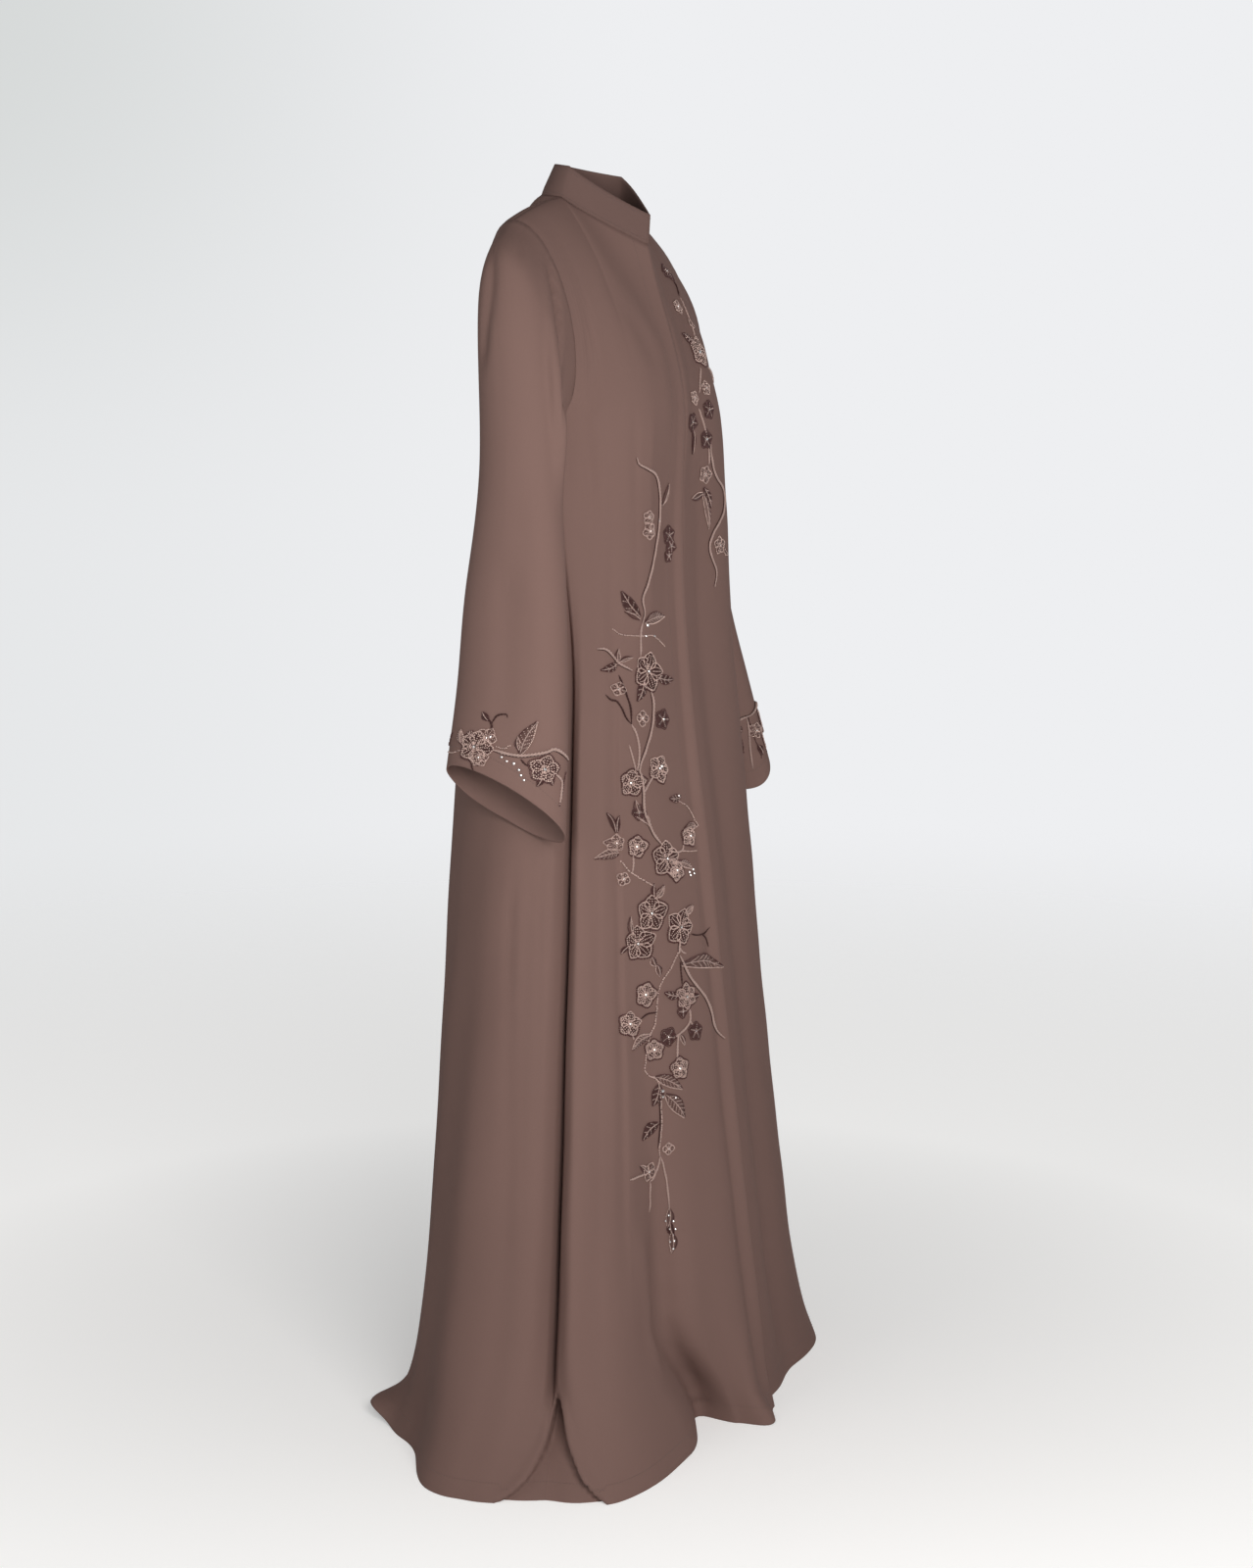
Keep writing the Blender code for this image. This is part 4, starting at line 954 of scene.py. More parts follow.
# Beadwork. Places are the panels' own measures: turn and height on the body, turn and reach on a
# sleeve. Sizes are in millimetres. The left cuff repeats the right one and adds its own rows.
Stem = namedtuple("Stem", "piece kind width marks")
Flower = namedtuple("Flower", "piece across along size petals turn tone")
Leaf = namedtuple("Leaf", "piece base tip width tone")
Gem = namedtuple("Gem", "piece across along size")
stems = {
    "front_right": (
        ("light", 3.2, ((-41.2, 1.1266), (-39.7, 1.1189), (-34.5, 1.1133), (-27.2, 1.1042),
            (-23.4, 1.0819), (-23.9, 1.0551), (-26.7, 1.033), (-31.8, 1.0023), (-34.3, 0.9848),
            (-37.1, 0.9674), (-35.3, 0.9517), (-36.3, 0.9407))),
        ("light", 2.6, ((-36.3, 0.9407), (-37.5, 0.9299), (-36.6, 0.9011))),
        ("beads", 2.2, ((-54.2, 0.9348), (-49.4, 0.9285), (-40.9, 0.9264), (-34.5, 0.925),
            (-28.4, 0.9239), (-20, 0.9109))),
        ("light", 3.0, ((-61, 0.9138), (-57.9, 0.9126), (-54.1, 0.904), (-50.6, 0.896),
            (-41.7, 0.8875))),
        ("dark", 2.4, ((-58.3, 0.8619), (-56.1, 0.856), (-51, 0.8521), (-45.5, 0.8364),
            (-40.3, 0.827))),
        ("dark", 2.6, ((-50.8, 0.8829), (-47, 0.8672), (-41.9, 0.8469), (-40.3, 0.827))),
        ("light", 2.8, ((-40.3, 0.827), (-36.6, 0.8132), (-35, 0.794), (-36, 0.77))),
        ("light", 3.2, ((-29.4, 0.8642), (-27.7, 0.846), (-28.3, 0.8218), (-30.9, 0.8005),
            (-33.9, 0.7816), (-34.4, 0.7718))),
        ("light", 2.2, ((-41.4, 0.8041), (-37.7, 0.7826), (-36.5, 0.7702))),
        ("light", 2.6, ((-28.4, 0.7652), (-30.8, 0.7561), (-32.8, 0.748))),
        ("light", 3.4, ((-34.9, 0.7753), (-33.5, 0.7638), (-33.1, 0.7481), (-33.2, 0.7282),
            (-31, 0.7095), (-29.2, 0.6975), (-25.9, 0.6846))),
        ("light", 2.4, ((-37.7, 0.723), (-34.3, 0.7175), (-30.6, 0.7082))),
        ("beads", 2.4, ((-19, 0.7372), (-15.5, 0.7289), (-11.3, 0.7226), (-6.9, 0.712),
            (-3.3, 0.6992))),
        ("light", 2.6, ((-25.9, 0.6846), (-22.3, 0.6758), (-18.1, 0.6746), (-16.1, 0.6838))),
        ("beads", 2.2, ((-17.6, 0.6743), (-13.3, 0.6714), (-7.1, 0.6702))),
        ("light", 2.4, ((-39.9, 0.6816), (-39.9, 0.6705), (-40.8, 0.6586))),
        ("beads", 2.6, ((-49.6, 0.6745), (-44.5, 0.6649), (-39, 0.657), (-34.1, 0.6486),
            (-30.5, 0.6414))),
        ("dark", 2.2, ((-32.4, 0.5922), (-34, 0.5886), (-37.3, 0.5867))),
        ("dark", 2.0, ((-17.2, 0.5774), (-14.4, 0.5743), (-10.7, 0.5732), (-6.1, 0.5742),
            (-2.8, 0.5784))),
        ("dark", 2.0, ((-10.7, 0.5732), (-6.7, 0.5664), (-4.7, 0.5561))),
        ("light", 3.0, ((-21.8, 0.5739), (-22.4, 0.5664), (-22.6, 0.5587))),
        ("light", 2.2, ((-22.4, 0.5664), (-21.4, 0.56), (-19.9, 0.5566))),
        ("beads", 2.8, ((-23.3, 0.5593), (-25.8, 0.5454), (-28.7, 0.5341), (-30.6, 0.5219),
            (-31.5, 0.5024), (-32.4, 0.485), (-34.4, 0.4728), (-35.8, 0.4558), (-36.9, 0.4375),
            (-35.7, 0.4288), (-33.4, 0.4239))),
        ("light", 3.6, ((-22.3, 0.5562), (-19.8, 0.5337), (-16.9, 0.5178), (-12.3, 0.4981),
            (-9.3, 0.4798), (-7.9, 0.4649), (-0.9, 0.4461))),
        ("dark", 2.2, ((-22.4, 0.5495), (-22.4, 0.5359), (-22.3, 0.5223))),
        ("light", 2.6, ((-20.2, 0.4954), (-20.7, 0.4777), (-24.6, 0.4677), (-26.9, 0.4653))),
        ("light", 2.2, ((-20.6, 0.4799), (-19.6, 0.4732))),
        ("light", 2.6, ((-24.9, 0.468), (-25.5, 0.4539), (-25.8, 0.4395))),
        ("dark", 2.2, ((-31.6, 0.4979), (-35.3, 0.498), (-38.7, 0.4932))),
        ("light", 2.2, ((-45.7, 0.4842), (-42.8, 0.4731))),
        ("beads", 2.6, ((-33.4, 0.425), (-31.8, 0.416), (-31.4, 0.4022), (-31.4, 0.3707),
            (-32.4, 0.3421), (-32.2, 0.3318))),
        ("dark", 1.8, ((-31.9, 0.4094), (-31.9, 0.3711), (-32.9, 0.3425))),
        ("light", 2.6, ((-32.2, 0.3318), (-33.3, 0.3179), (-34.5, 0.3099), (-36, 0.3066))),
        ("light", 2.2, ((-36, 0.3066), (-35.9, 0.2884), (-36.2, 0.2716))),
        ("light", 2.8, ((-48.8, 0.319), (-43.6, 0.3191), (-38.8, 0.3182))),
        ("light", 2.6, ((-31.9, 0.3315), (-31.1, 0.3185), (-30.4, 0.2998), (-29.9, 0.2699))),
    ),
    "front_left": (
        ("dark", 2.0, ((41.5, 1.3035), (42.2, 1.2989), (39.6, 1.2882))),
        ("light", 2.2, ((39.7, 1.2862), (39, 1.2732), (38.1, 1.2588), (36.7, 1.2466))),
        ("light", 2.6, ((33.2, 1.223), (29.8, 1.2116), (27.3, 1.1991))),
        ("light", 2.8, ((24.3, 1.1824), (27.2, 1.1712), (29.9, 1.1598), (30.9, 1.1507))),
        ("light", 2.6, ((41.8, 1.2219), (49.4, 1.2208), (49.4, 1.2135))),
        ("light", 2.6, ((33.7, 1.1369), (34.5, 1.1173))),
        ("light", 3.2, ((35.1, 1.1426), (36.1, 1.1242), (39.2, 1.1044), (45.4, 1.0853),
            (44.4, 1.062), (36.6, 1.0349), (34.7, 1.0165), (38.4, 0.9902), (37.1, 0.9717))),
    ),
    "sleeve_right": (
        ("dark", 2.4, ((-1.8, 0.901), (-1.8, 0.8899), (-2.5, 0.88), (-6.7, 0.8714))),
        ("dark", 2.2, ((-1.9, 0.8766), (2.8, 0.8572), (11.1, 0.8479), (12.6, 0.8541))),
        ("beads", 2.2, ((-35.4, 0.9639), (-50.6, 0.9699), (-68.7, 0.962))),
        ("dark", 2.0, ((-19.7, 0.9841), (-18, 0.9944), (-16.5, 1))),
        ("light", 3.8, ((1.2, 0.9364), (14.1, 0.9312), (26.5, 0.9211), (41, 0.9021), (55.4, 0.8817),
            (69.4, 0.8639), (104.5, 0.8596))),
        ("beads", 2.2, ((4.6, 0.9262), (11.3, 0.9235), (17.5, 0.9102))),
        ("dark", 2.2, ((28.3, 0.9272), (34.6, 0.932), (44.6, 0.9219))),
        ("light", 2.6, ((65.5, 0.9106), (79.8, 0.9141), (79.3, 0.9347), (77.1, 0.9625))),
        ("darkbeads", 2.4, ((90.1, 0.89), (84.7, 0.9155), (80.5, 0.9409), (77.1, 0.9625))),
        ("darkbeads", 2.4, ((-58.2, 0.9208), (-66.8, 0.9457))),
    ),
    "sleeve_left": (
        ("light", 3.0, ((104.5, 0.859), (118, 0.857), (132, 0.862), (146, 0.858), (160, 0.862))),
        ("light", 2.6, ((110, 0.859), (112, 0.885), (116, 0.912), (119, 0.94), (120, 0.962))),
        ("darkbeads", 2.4, ((108, 0.862), (106, 0.895), (102, 0.925), (99, 0.952))),
        ("darkbeads", 2.4, ((132, 0.866), (127, 0.895), (128, 0.925))),
    ),
}
flowers = {
    "front_right": (
        (-34.5, 1.0592, 15, 5, 10, "light"), (-33.9, 1.0436, 18, 5, 40, "light"),
        (-12.1, 1.0375, 17, 5, 0, "dark"), (-9.7, 1.0249, 14, 5, 30, "dark"),
        (-12.6, 1.0138, 11, 5, 0, "dark"), (-31.6, 0.8846, 40, 5, 12, "light"),
        (-51.1, 0.8675, 15, 4, 20, "light"), (-33.9, 0.8323, 17, 4, 90, "light"),
        (-22.6, 0.8276, 20, 5, 20, "dark"), (-25.4, 0.7728, 29, 5, 25, "light"),
        (-40.2, 0.7611, 26, 5, 10, "dark"), (-35.8, 0.7268, 15, 4, 0, "dark"),
        (-12.2, 0.6888, 21, 5, 15, "light"), (-25, 0.6696, 38, 5, 5, "light"),
        (-21.2, 0.6538, 22, 5, 40, "dark"), (-53.2, 0.6954, 18, 5, 0, "light"),
        (-37.8, 0.6887, 22, 5, 15, "dark"), (-48.4, 0.6546, 15, 4, 30, "light"),
        (-32.1, 0.611, 38, 5, 8, "dark"), (-21.4, 0.5883, 38, 5, 25, "light"),
        (-39, 0.5797, 36, 5, 0, "light"), (-21.2, 0.5077, 28, 6, 0, "dark"),
        (-23, 0.4923, 12, 4, 0, "dark"), (-18.8, 0.4657, 18, 5, 10, "dark"),
        (-28.2, 0.4674, 18, 5, 30, "dark"), (-25.3, 0.4289, 22, 5, 0, "dark"),
        (-35.9, 0.5206, 25, 5, 20, "dark"), (-46.3, 0.4922, 25, 5, 10, "light"),
        (-33.1, 0.4562, 21, 5, 0, "dark"), (-29.7, 0.34, 13, 4, 0, "light"),
        (-36.8, 0.3186, 20, 4, 30, "light"),
    ),
    "front_left": (
        (36.8, 1.3155, 16, 5, 0, "dark"), (28.1, 1.2872, 16, 5, 20, "light"),
        (36, 1.2368, 32, 5, 10, "light"), (34.1, 1.2026, 16, 5, 0, "light"),
        (19.4, 1.1955, 16, 5, 20, "light"), (34.2, 1.1807, 19, 5, 10, "dark"),
        (15.4, 1.1665, 19, 5, 30, "dark"), (31, 1.1472, 19, 5, 0, "dark"),
        (31.7, 1.1059, 20, 5, 20, "light"), (40.6, 1.0215, 20, 5, 0, "light"),
    ),
    "sleeve_right": (
        (-17.2, 0.9454, 34, 5, 15, "light"), (-5.7, 0.9158, 20, 5, 30, "light"),
        (-11.7, 0.9665, 19, 5, 0, "light"), (53.6, 0.9174, 26, 5, 10, "dark"),
    ),
    "sleeve_left": (
        (97, 0.896, 18, 5, 20, "light"), (153, 0.898, 20, 5, 5, "dark"),
    ),
}
leaves = {
    "front_right": (
        ((-20.1, 1.0728), (-13.4, 1.096), 8, "light"),
        ((-38.8, 0.9477), (-49.3, 0.9763), 14, "dark"),
        ((-38.7, 0.9444), (-47.3, 0.9541), 8, "light"),
        ((-35, 0.9406), (-19.8, 0.9447), 13, "light"),
        ((-34.3, 0.8742), (-37.2, 0.8528), 12, "dark"),
        ((-25.9, 0.8766), (-14.6, 0.8714), 11, "dark"),
        ((-51.8, 0.8961), (-59.8, 0.8895), 9, "dark"),
        ((-51.2, 0.8961), (-51.1, 0.9115), 6, "light"),
        ((-50, 0.8982), (-42.1, 0.9019), 5, "light"),
        ((-35.6, 0.7257), (-37.4, 0.7406), 8, "light"), ((-31.8, 0.711), (-32, 0.7221), 7, "light"),
        ((-15.8, 0.7358), (-21.5, 0.7362), 9, "dark"),
        ((-15.4, 0.6982), (-4.3, 0.6984), 10, "light"),
        ((-53.7, 0.7076), (-57.8, 0.7296), 8, "dark"),
        ((-52.2, 0.7074), (-50.3, 0.7249), 6, "dark"),
        ((-51.8, 0.6833), (-61.7, 0.6808), 11, "light"),
        ((-20, 0.6621), (-13.3, 0.6515), 9, "light"),
        ((-30.3, 0.6279), (-26.8, 0.6393), 9, "light"),
        ((-30.7, 0.6292), (-30.5, 0.6436), 6, "dark"), ((-19.3, 0.6039), (-15, 0.609), 9, "light"),
        ((-42, 0.5895), (-43.1, 0.6107), 7, "light"), ((-32.5, 0.561), (-31.2, 0.5502), 8, "light"),
        ((-30.8, 0.5511), (-30, 0.5383), 8, "light"), ((-46.1, 0.5786), (-51.2, 0.5718), 5, "dark"),
        ((-21.8, 0.5456), (1.8, 0.5303), 17, "light"), ((-24, 0.5113), (-28.6, 0.5183), 9, "dark"),
        ((-19.4, 0.5061), (-16.1, 0.5056), 8, "dark"),
        ((-34, 0.4737), (-44.6, 0.4629), 10, "light"),
        ((-24.3, 0.4663), (-23.2, 0.454), 6, "light"),
        ((-32.7, 0.4245), (-25, 0.4048), 13, "light"),
        ((-31.8, 0.4149), (-34.2, 0.393), 14, "dark"),
        ((-29.8, 0.4022), (-24.8, 0.3717), 16, "light"),
        ((-32.7, 0.3717), (-39.7, 0.3581), 14, "dark"),
        ((-38.2, 0.3199), (-41.6, 0.3296), 6, "light"),
        ((-29.9, 0.2699), (-30.5, 0.2498), 8, "light"), ((-30, 0.2552), (-29.2, 0.2376), 7, "dark"),
        ((-29.6, 0.2424), (-29.8, 0.2196), 8, "light"),
    ),
    "front_left": (
        ((33.7, 1.2462), (21.2, 1.2658), 10, "dark"), ((36.8, 1.2669), (40.7, 1.2575), 8, "light"),
        ((16.9, 1.1574), (17.9, 1.1301), 8, "dark"), ((31.4, 1.0898), (35.8, 1.0664), 11, "dark"),
        ((30.8, 1.084), (19.6, 1.0777), 8, "light"), ((30.8, 1.0829), (34.3, 1.0421), 9, "light"),
        ((43.2, 1.0175), (46.7, 1.0086), 6, "light"),
    ),
    "sleeve_right": (
        ((-6, 0.8754), (-11.9, 0.8614), 7, "dark"), ((-33.8, 0.9469), (-38, 0.9148), 9, "light"),
        ((-19.5, 0.9237), (-27.3, 0.9185), 9, "dark"),
        ((27.3, 0.9159), (42.8, 0.8346), 13, "light"), ((25.7, 0.9095), (24.4, 0.8836), 5, "light"),
        ((50.5, 0.9347), (46, 0.9598), 7, "dark"), ((58.8, 0.9252), (63.9, 0.9368), 7, "dark"),
    ),
    "sleeve_left": (
        ((126, 0.868), (133, 0.889), 9, "dark"), ((101, 0.925), (95, 0.949), 8, "dark"),
    ),
}
gems = {
    "front_right": (
        (-33.8, 0.9371, 4.6), (-34.2, 0.925, 3), (-28.4, 0.9239, 3), (-24.4, 1.0551, 2.6),
        (-22.4, 0.8275, 4), (-24.4, 0.7746, 4.4), (-15.2, 0.648, 3.4), (-12.7, 0.6501, 3.4),
        (-12.4, 0.6454, 3.4), (-14.8, 0.6444, 3.4), (-25, 0.6696, 4), (-16.8, 0.7374, 3),
        (-30.8, 0.4074, 4.4), (-30.8, 0.4007, 3.4), (-30.2, 0.2633, 3.4), (-31, 0.257, 3),
        (-29.2, 0.2558, 3), (-30.1, 0.2473, 3), (-28.8, 0.2464, 3), (-29.4, 0.24, 2.6),
        (-30.1, 0.2324, 3), (-29.2, 0.2331, 3.4), (-29.5, 0.2241, 3.4), (-27, 0.3966, 3),
    ),
    "front_left": (
        (35.7, 1.236, 4), (31, 1.1472, 4),
    ),
    "sleeve_right": (
        (10.5, 0.9428, 3), (15.4, 0.9463, 3), (22.3, 0.9428, 3.8), (27.3, 0.9503, 3.4),
        (29.4, 0.959, 3.2), (32.4, 0.9654, 3), (-1.9, 0.9102, 3),
    ),
}
beadwork = {
    "seed": 7, "beadRadius": 0.00105, "beadFlatness": 0.86, "beadSink": 0.7,
    "beadSizes": (0.88, 1.12), "widen": 1.16, "flowerGrowth": 1.10, "petalRise": 0.0016,
    "leafRise": 0.0015, "smallFlower": 21.0, "smallLeaf": 9, "broadStem": 2.9, "patchBlunt": 1.4,
}
cordLook = {
    "step": 0.0011, "sides": 5, "pitch": 0.0075, "thinEnd": 0.45, "startTaper": 0.12,
    "endTaper": 0.2, "swell": 0.08, "swellRate": 310.0, "rise": 0.75, "orbit": 0.42, "strand": 0.62,
}
# How far each kind of work stands off the cloth.
lifts = {"patch": 0.0003, "rim": 0.0003, "leafEdge": 0.0005, "petalEdge": 0.0006, "gem": 0.0006,
         "heart": 0.0012, "heartRing": 0.0013}
# Shares of a bead's radius, a petal or a leaf, unless a name says otherwise; turns in degrees.
flowerLook = {
    "turnSpread": 6, "lengths": (0.92, 1.06), "widths": (0.92, 1.05),
    "widthByPetals": {4: 1.0, 5: 0.92, 6: 0.72}, "start": 0.14, "lean": 0.8, "fullness": 0.75,
    "pad": 0.94, "smallBead": 0.80, "edgeSpacing": 2.15, "edgeStretch": 1.15,
    "veins": (-0.46, 0.0, 0.46), "veinBead": 0.84, "veinSpacing": 2.3, "veinLift": 0.9,
    # shade points to the side of a flower where petals get a painted shadow, a rim of dark beads.
    "shade": (-0.64, -0.77), "shadeOver": 0.1, "shadowRimBead": 0.9, "shadowRimSpacing": 2.1, "shadowRimStretch": 1.2,
    "gemMetres": (0.0011, 0.0019), "gemSink": 0.5, "ringBeads": (6, 8), "ringOff": 1.1,
    "ringBead": 0.9,
}
leafLook = {
    "lean": 0.85, "fullness": 0.85, "bend": 0.07, "pad": 0.9, "smallBead": 0.75, "bead": 0.9,
    "ribMetres": 0.0013, "ribLift": 1.2, "edgeSpacing": 2.15, "edgeStretch": 1.2,
    "barbReach": 0.8, "barbLift": 0.85, "barbBead": 0.8, "barbSpacing": 2.0,
}
stemLook = {
    "steps": 24, "edgeMetres": 0.0013, "coreMetres": 0.0012, "edgeOff": 0.5,
    "bead": 0.44, "beadSpacing": 1.02, "beadStretch": 1.2, "beadLoose": 0.22,
}
gemSink = 0.6
# Where a lone bead's long side points.
beadRun = (0.3, 0.9, 0.2)
beadRng = np.random.default_rng(beadwork["seed"])
threads, grains = {}, {}


def addThread(piece, tone, verts, faces, uvs):
    pile = threads.setdefault((piece, tone), {"verts": [], "faces": [], "uvs": [], "count": 0})
    pile["verts"].append(verts)
    pile["faces"] += (np.asarray(faces) + pile["count"]).tolist()
    pile["uvs"].append(uvs)
    pile["count"] += len(verts)


# Beads are kept as points: place, facing, run and the three half sizes.
def addGrains(piece, tone, points, normals, alongs, radii, stretch=1.0):
    radii = np.broadcast_to(np.asarray(radii, float), (len(points),))
    shape = np.stack((radii * stretch, radii, radii * beadwork["beadFlatness"]), axis=-1)
    grains.setdefault((piece, tone), []).append((points, normals, alongs, shape))


# Turns metres right and up of a place on the cloth into the panel's own measures.
def clothFrame(piece, across, along, turn=0.6, reach=0.004):
    def slope(a, b):
        after, before = (onCloth(piece, across + k * a, along + k * b)[0] for k in (1.0, -1.0))
        return (after - before) / (2 * (a + b))

    normal = onCloth(piece, across, along)[1]
    byTurn, byReach = slope(turn, 0.0), slope(0.0, reach)
    up = byReach if byReach[2] > 0 else -byReach
    up = unit(up - normal * (up @ normal))
    right = np.cross(up, normal)
    return np.linalg.inv(np.array(((byTurn @ right, byReach @ right), (byTurn @ up, byReach @ up))))


# Lay flat drawing points (metres right and up of a place) on the cloth.
def layOn(piece, centre, flat, lift):
    flat = np.asarray(flat) * (beadwork["widen"], 1.0)
    shift = flat @ clothFrame(piece, *map(np.asarray, centre)).T
    return onCloth(piece, centre[0] + shift[..., 0], centre[1] + shift[..., 1], lift)


def evenPath(points, step):
    run = runAlong(points)
    count = max(int(run[-1] / step), 2)
    at = np.linspace(0.0, run[-1], count + 1)
    return readAlong(at, run, points), at


# Two strands twisted round each other, thinner towards the ends.
def addCord(piece, tone, points, normals, width):
    look, count, sides = cordLook, len(points), cordLook["sides"]
    tangent = unit(np.gradient(points, axis=0))
    normals = unit(normals - tangent * np.sum(normals * tangent, axis=1, keepdims=True))
    across = np.cross(tangent, normals)
    run = runAlong(points)
    share = run / run[-1]
    taper = np.minimum(ease(share / look["startTaper"]), ease((1.0 - share) / look["endTaper"]))
    size = np.full(count, width / 2.0) * (look["thinEnd"] + (1.0 - look["thinEnd"]) * taper)
    swell = np.sin(run * look["swellRate"] + beadRng.uniform(0, 6))
    size = (size * (1.0 + look["swell"] * swell))[:, None]
    middle = points + normals * (size * look["rise"])
    for strand in (0.0, math.pi):
        twist = (run / look["pitch"] * 2 * math.pi + strand)[:, None]
        aside = normals * np.sin(twist) + across * np.cos(twist)
        centre = middle + aside * (size * look["orbit"])
        rings = []
        for k in range(sides):
            turn = 2 * math.pi * k / sides
            out = normals * math.sin(turn) + across * math.cos(turn)
            rings.append(centre + out * (size * look["strand"]))
        verts = np.stack(rings, axis=1).reshape(-1, 3)
        i = np.arange((count - 1) * sides)
        row, k = i // sides, i % sides
        a, b = row * sides + k, row * sides + (k + 1) % sides
        faces = np.stack((a, b, b + sides, a + sides), axis=-1).tolist()
        girth = np.tile(np.arange(sides) / sides * width, count)
        addThread(piece, tone, verts, faces, np.stack((np.repeat(run, sides), girth), axis=-1))


def addBeadRow(piece, tone, points, normals, radius, spacing, stretch=1.0, loose=0.10):
    even, at = evenPath(points, spacing)
    facing = unit(readAlong(at, runAlong(points), normals))
    jitter = beadRng.normal(size=even.shape) * radius * loose
    places = even + facing * radius * beadwork["beadSink"] + jitter
    radii = radius * beadRng.uniform(*beadwork["beadSizes"], len(even))
    addGrains(piece, tone, places, facing, unit(np.gradient(even, axis=0)), radii, stretch)


# A domed patch of satin stitch between two edges, drawn flat and laid on the cloth.
def addPatch(piece, centre, tone, spine, halfWidth, side, rise):
    across = np.linspace(-1.0, 1.0, 5)
    flat = spine[:, None] + side * (halfWidth[:, None] * across)[..., None]
    blunt = np.minimum(halfWidth / halfWidth.max() * beadwork["patchBlunt"], 1.0)[:, None]
    verts = layOn(piece, centre, flat, lifts["patch"] + rise * (1.0 - across**2) * blunt)[0]
    rows, count = verts.shape[:2]
    index = np.arange(rows * count).reshape(rows, count)
    corners = (index[:-1, :-1], index[:-1, 1:], index[1:, 1:], index[1:, :-1])
    faces = np.stack(corners, axis=-1).reshape(-1, 4)
    addThread(piece, tone, verts.reshape(-1, 3), faces, flat.reshape(-1, 2))


# How far out, and half how wide, a petal is at each step from its heart.
def petalShape(length, width, count):
    s = np.linspace(0.0, 1.0, count)
    lean, fullness, start = (flowerLook[key] for key in ("lean", "fullness", "start"))
    half = 0.5 * width * np.sin(math.pi * np.clip(s, 0.02, 0.98) ** lean) ** fullness
    return length * (start + (1.0 - start) * s), half


def addFlower(flower):
    look = flowerLook
    size = flower.size / 1000.0 * beadwork["flowerGrowth"]
    small = flower.size < beadwork["smallFlower"]
    radius = beadwork["beadRadius"] * (look["smallBead"] if small else 1.0)
    dark = flower.tone == "dark"
    piece, centre = flower.piece, (flower.across, flower.along)
    reach = size / 2.0
    width = reach * look["widthByPetals"][flower.petals]

    def row(tone, line, lift, *measures):
        addBeadRow(piece, tone, *layOn(piece, centre, line, lift), *measures)

    for k in range(flower.petals):
        spread = beadRng.uniform(-look["turnSpread"], look["turnSpread"])
        turn = math.radians(flower.turn + 360.0 * k / flower.petals + spread)
        length = reach * beadRng.uniform(*look["lengths"])
        out = np.array((math.sin(turn), math.cos(turn)))
        side = np.array((out[1], -out[0]))
        distance, half = petalShape(length, width * beadRng.uniform(*look["widths"]), 7)
        spine = distance[:, None] * out
        base = "darkThread" if dark or not small else "midThread"
        addPatch(piece, centre, base, spine, half * look["pad"], side, beadwork["petalRise"])
        fine, edge = petalShape(length, width, 15)
        middle, wing = fine[:, None] * out, edge[:, None] * side
        outline = np.concatenate((middle + wing, (middle - wing)[::-1]))
        row("darkBeads" if dark and small else "lightBeads", outline, lifts["petalEdge"], radius,
            radius * look["edgeSpacing"], look["edgeStretch"])
        for vein in (0.0,) if small else look["veins"]:
            line = fine[2:-3, None] * out + (edge[2:-3] * vein)[:, None] * side
            row("lightBeads", line, beadwork["petalRise"] * look["veinLift"],
                radius * look["veinBead"], radius * look["veinSpacing"])
        # Petals on the shade side get an outer rim of dark beads, a painted shadow; dark flowers
        # get this rim all round as their real dark outline.
        shaded = out @ np.array(look["shade"]) > look["shadeOver"]
        if (shaded and not small) or dark:
            outer = outline + unit(outline - spine.mean(axis=0)) * radius * look["shadowRimSpacing"]
            row("darkBeads", outer[3:-3], lifts["rim"], radius * look["shadowRimBead"],
                radius * look["shadowRimSpacing"], look["shadowRimStretch"])
    heart, facing = layOn(piece, centre, np.zeros((1, 2)), lifts["heart"])
    gem, count = (look[key][0 if small else 1] for key in ("gemMetres", "ringBeads"))
    addGrains(piece, "crystals", heart + facing * gem * look["gemSink"], facing,
              np.cross(facing, beadRun), gem)
    ring = np.linspace(0.0, 2 * math.pi, count + 1)[:-1]
    flat = np.stack((np.sin(ring), np.cos(ring)), axis=-1) * (gem + radius * look["ringOff"])
    points, facing = layOn(piece, centre, flat, lifts["heartRing"])
    addGrains(piece, "lightBeads", points, facing, unit(np.cross(facing, beadRun)),
              radius * look["ringBead"])


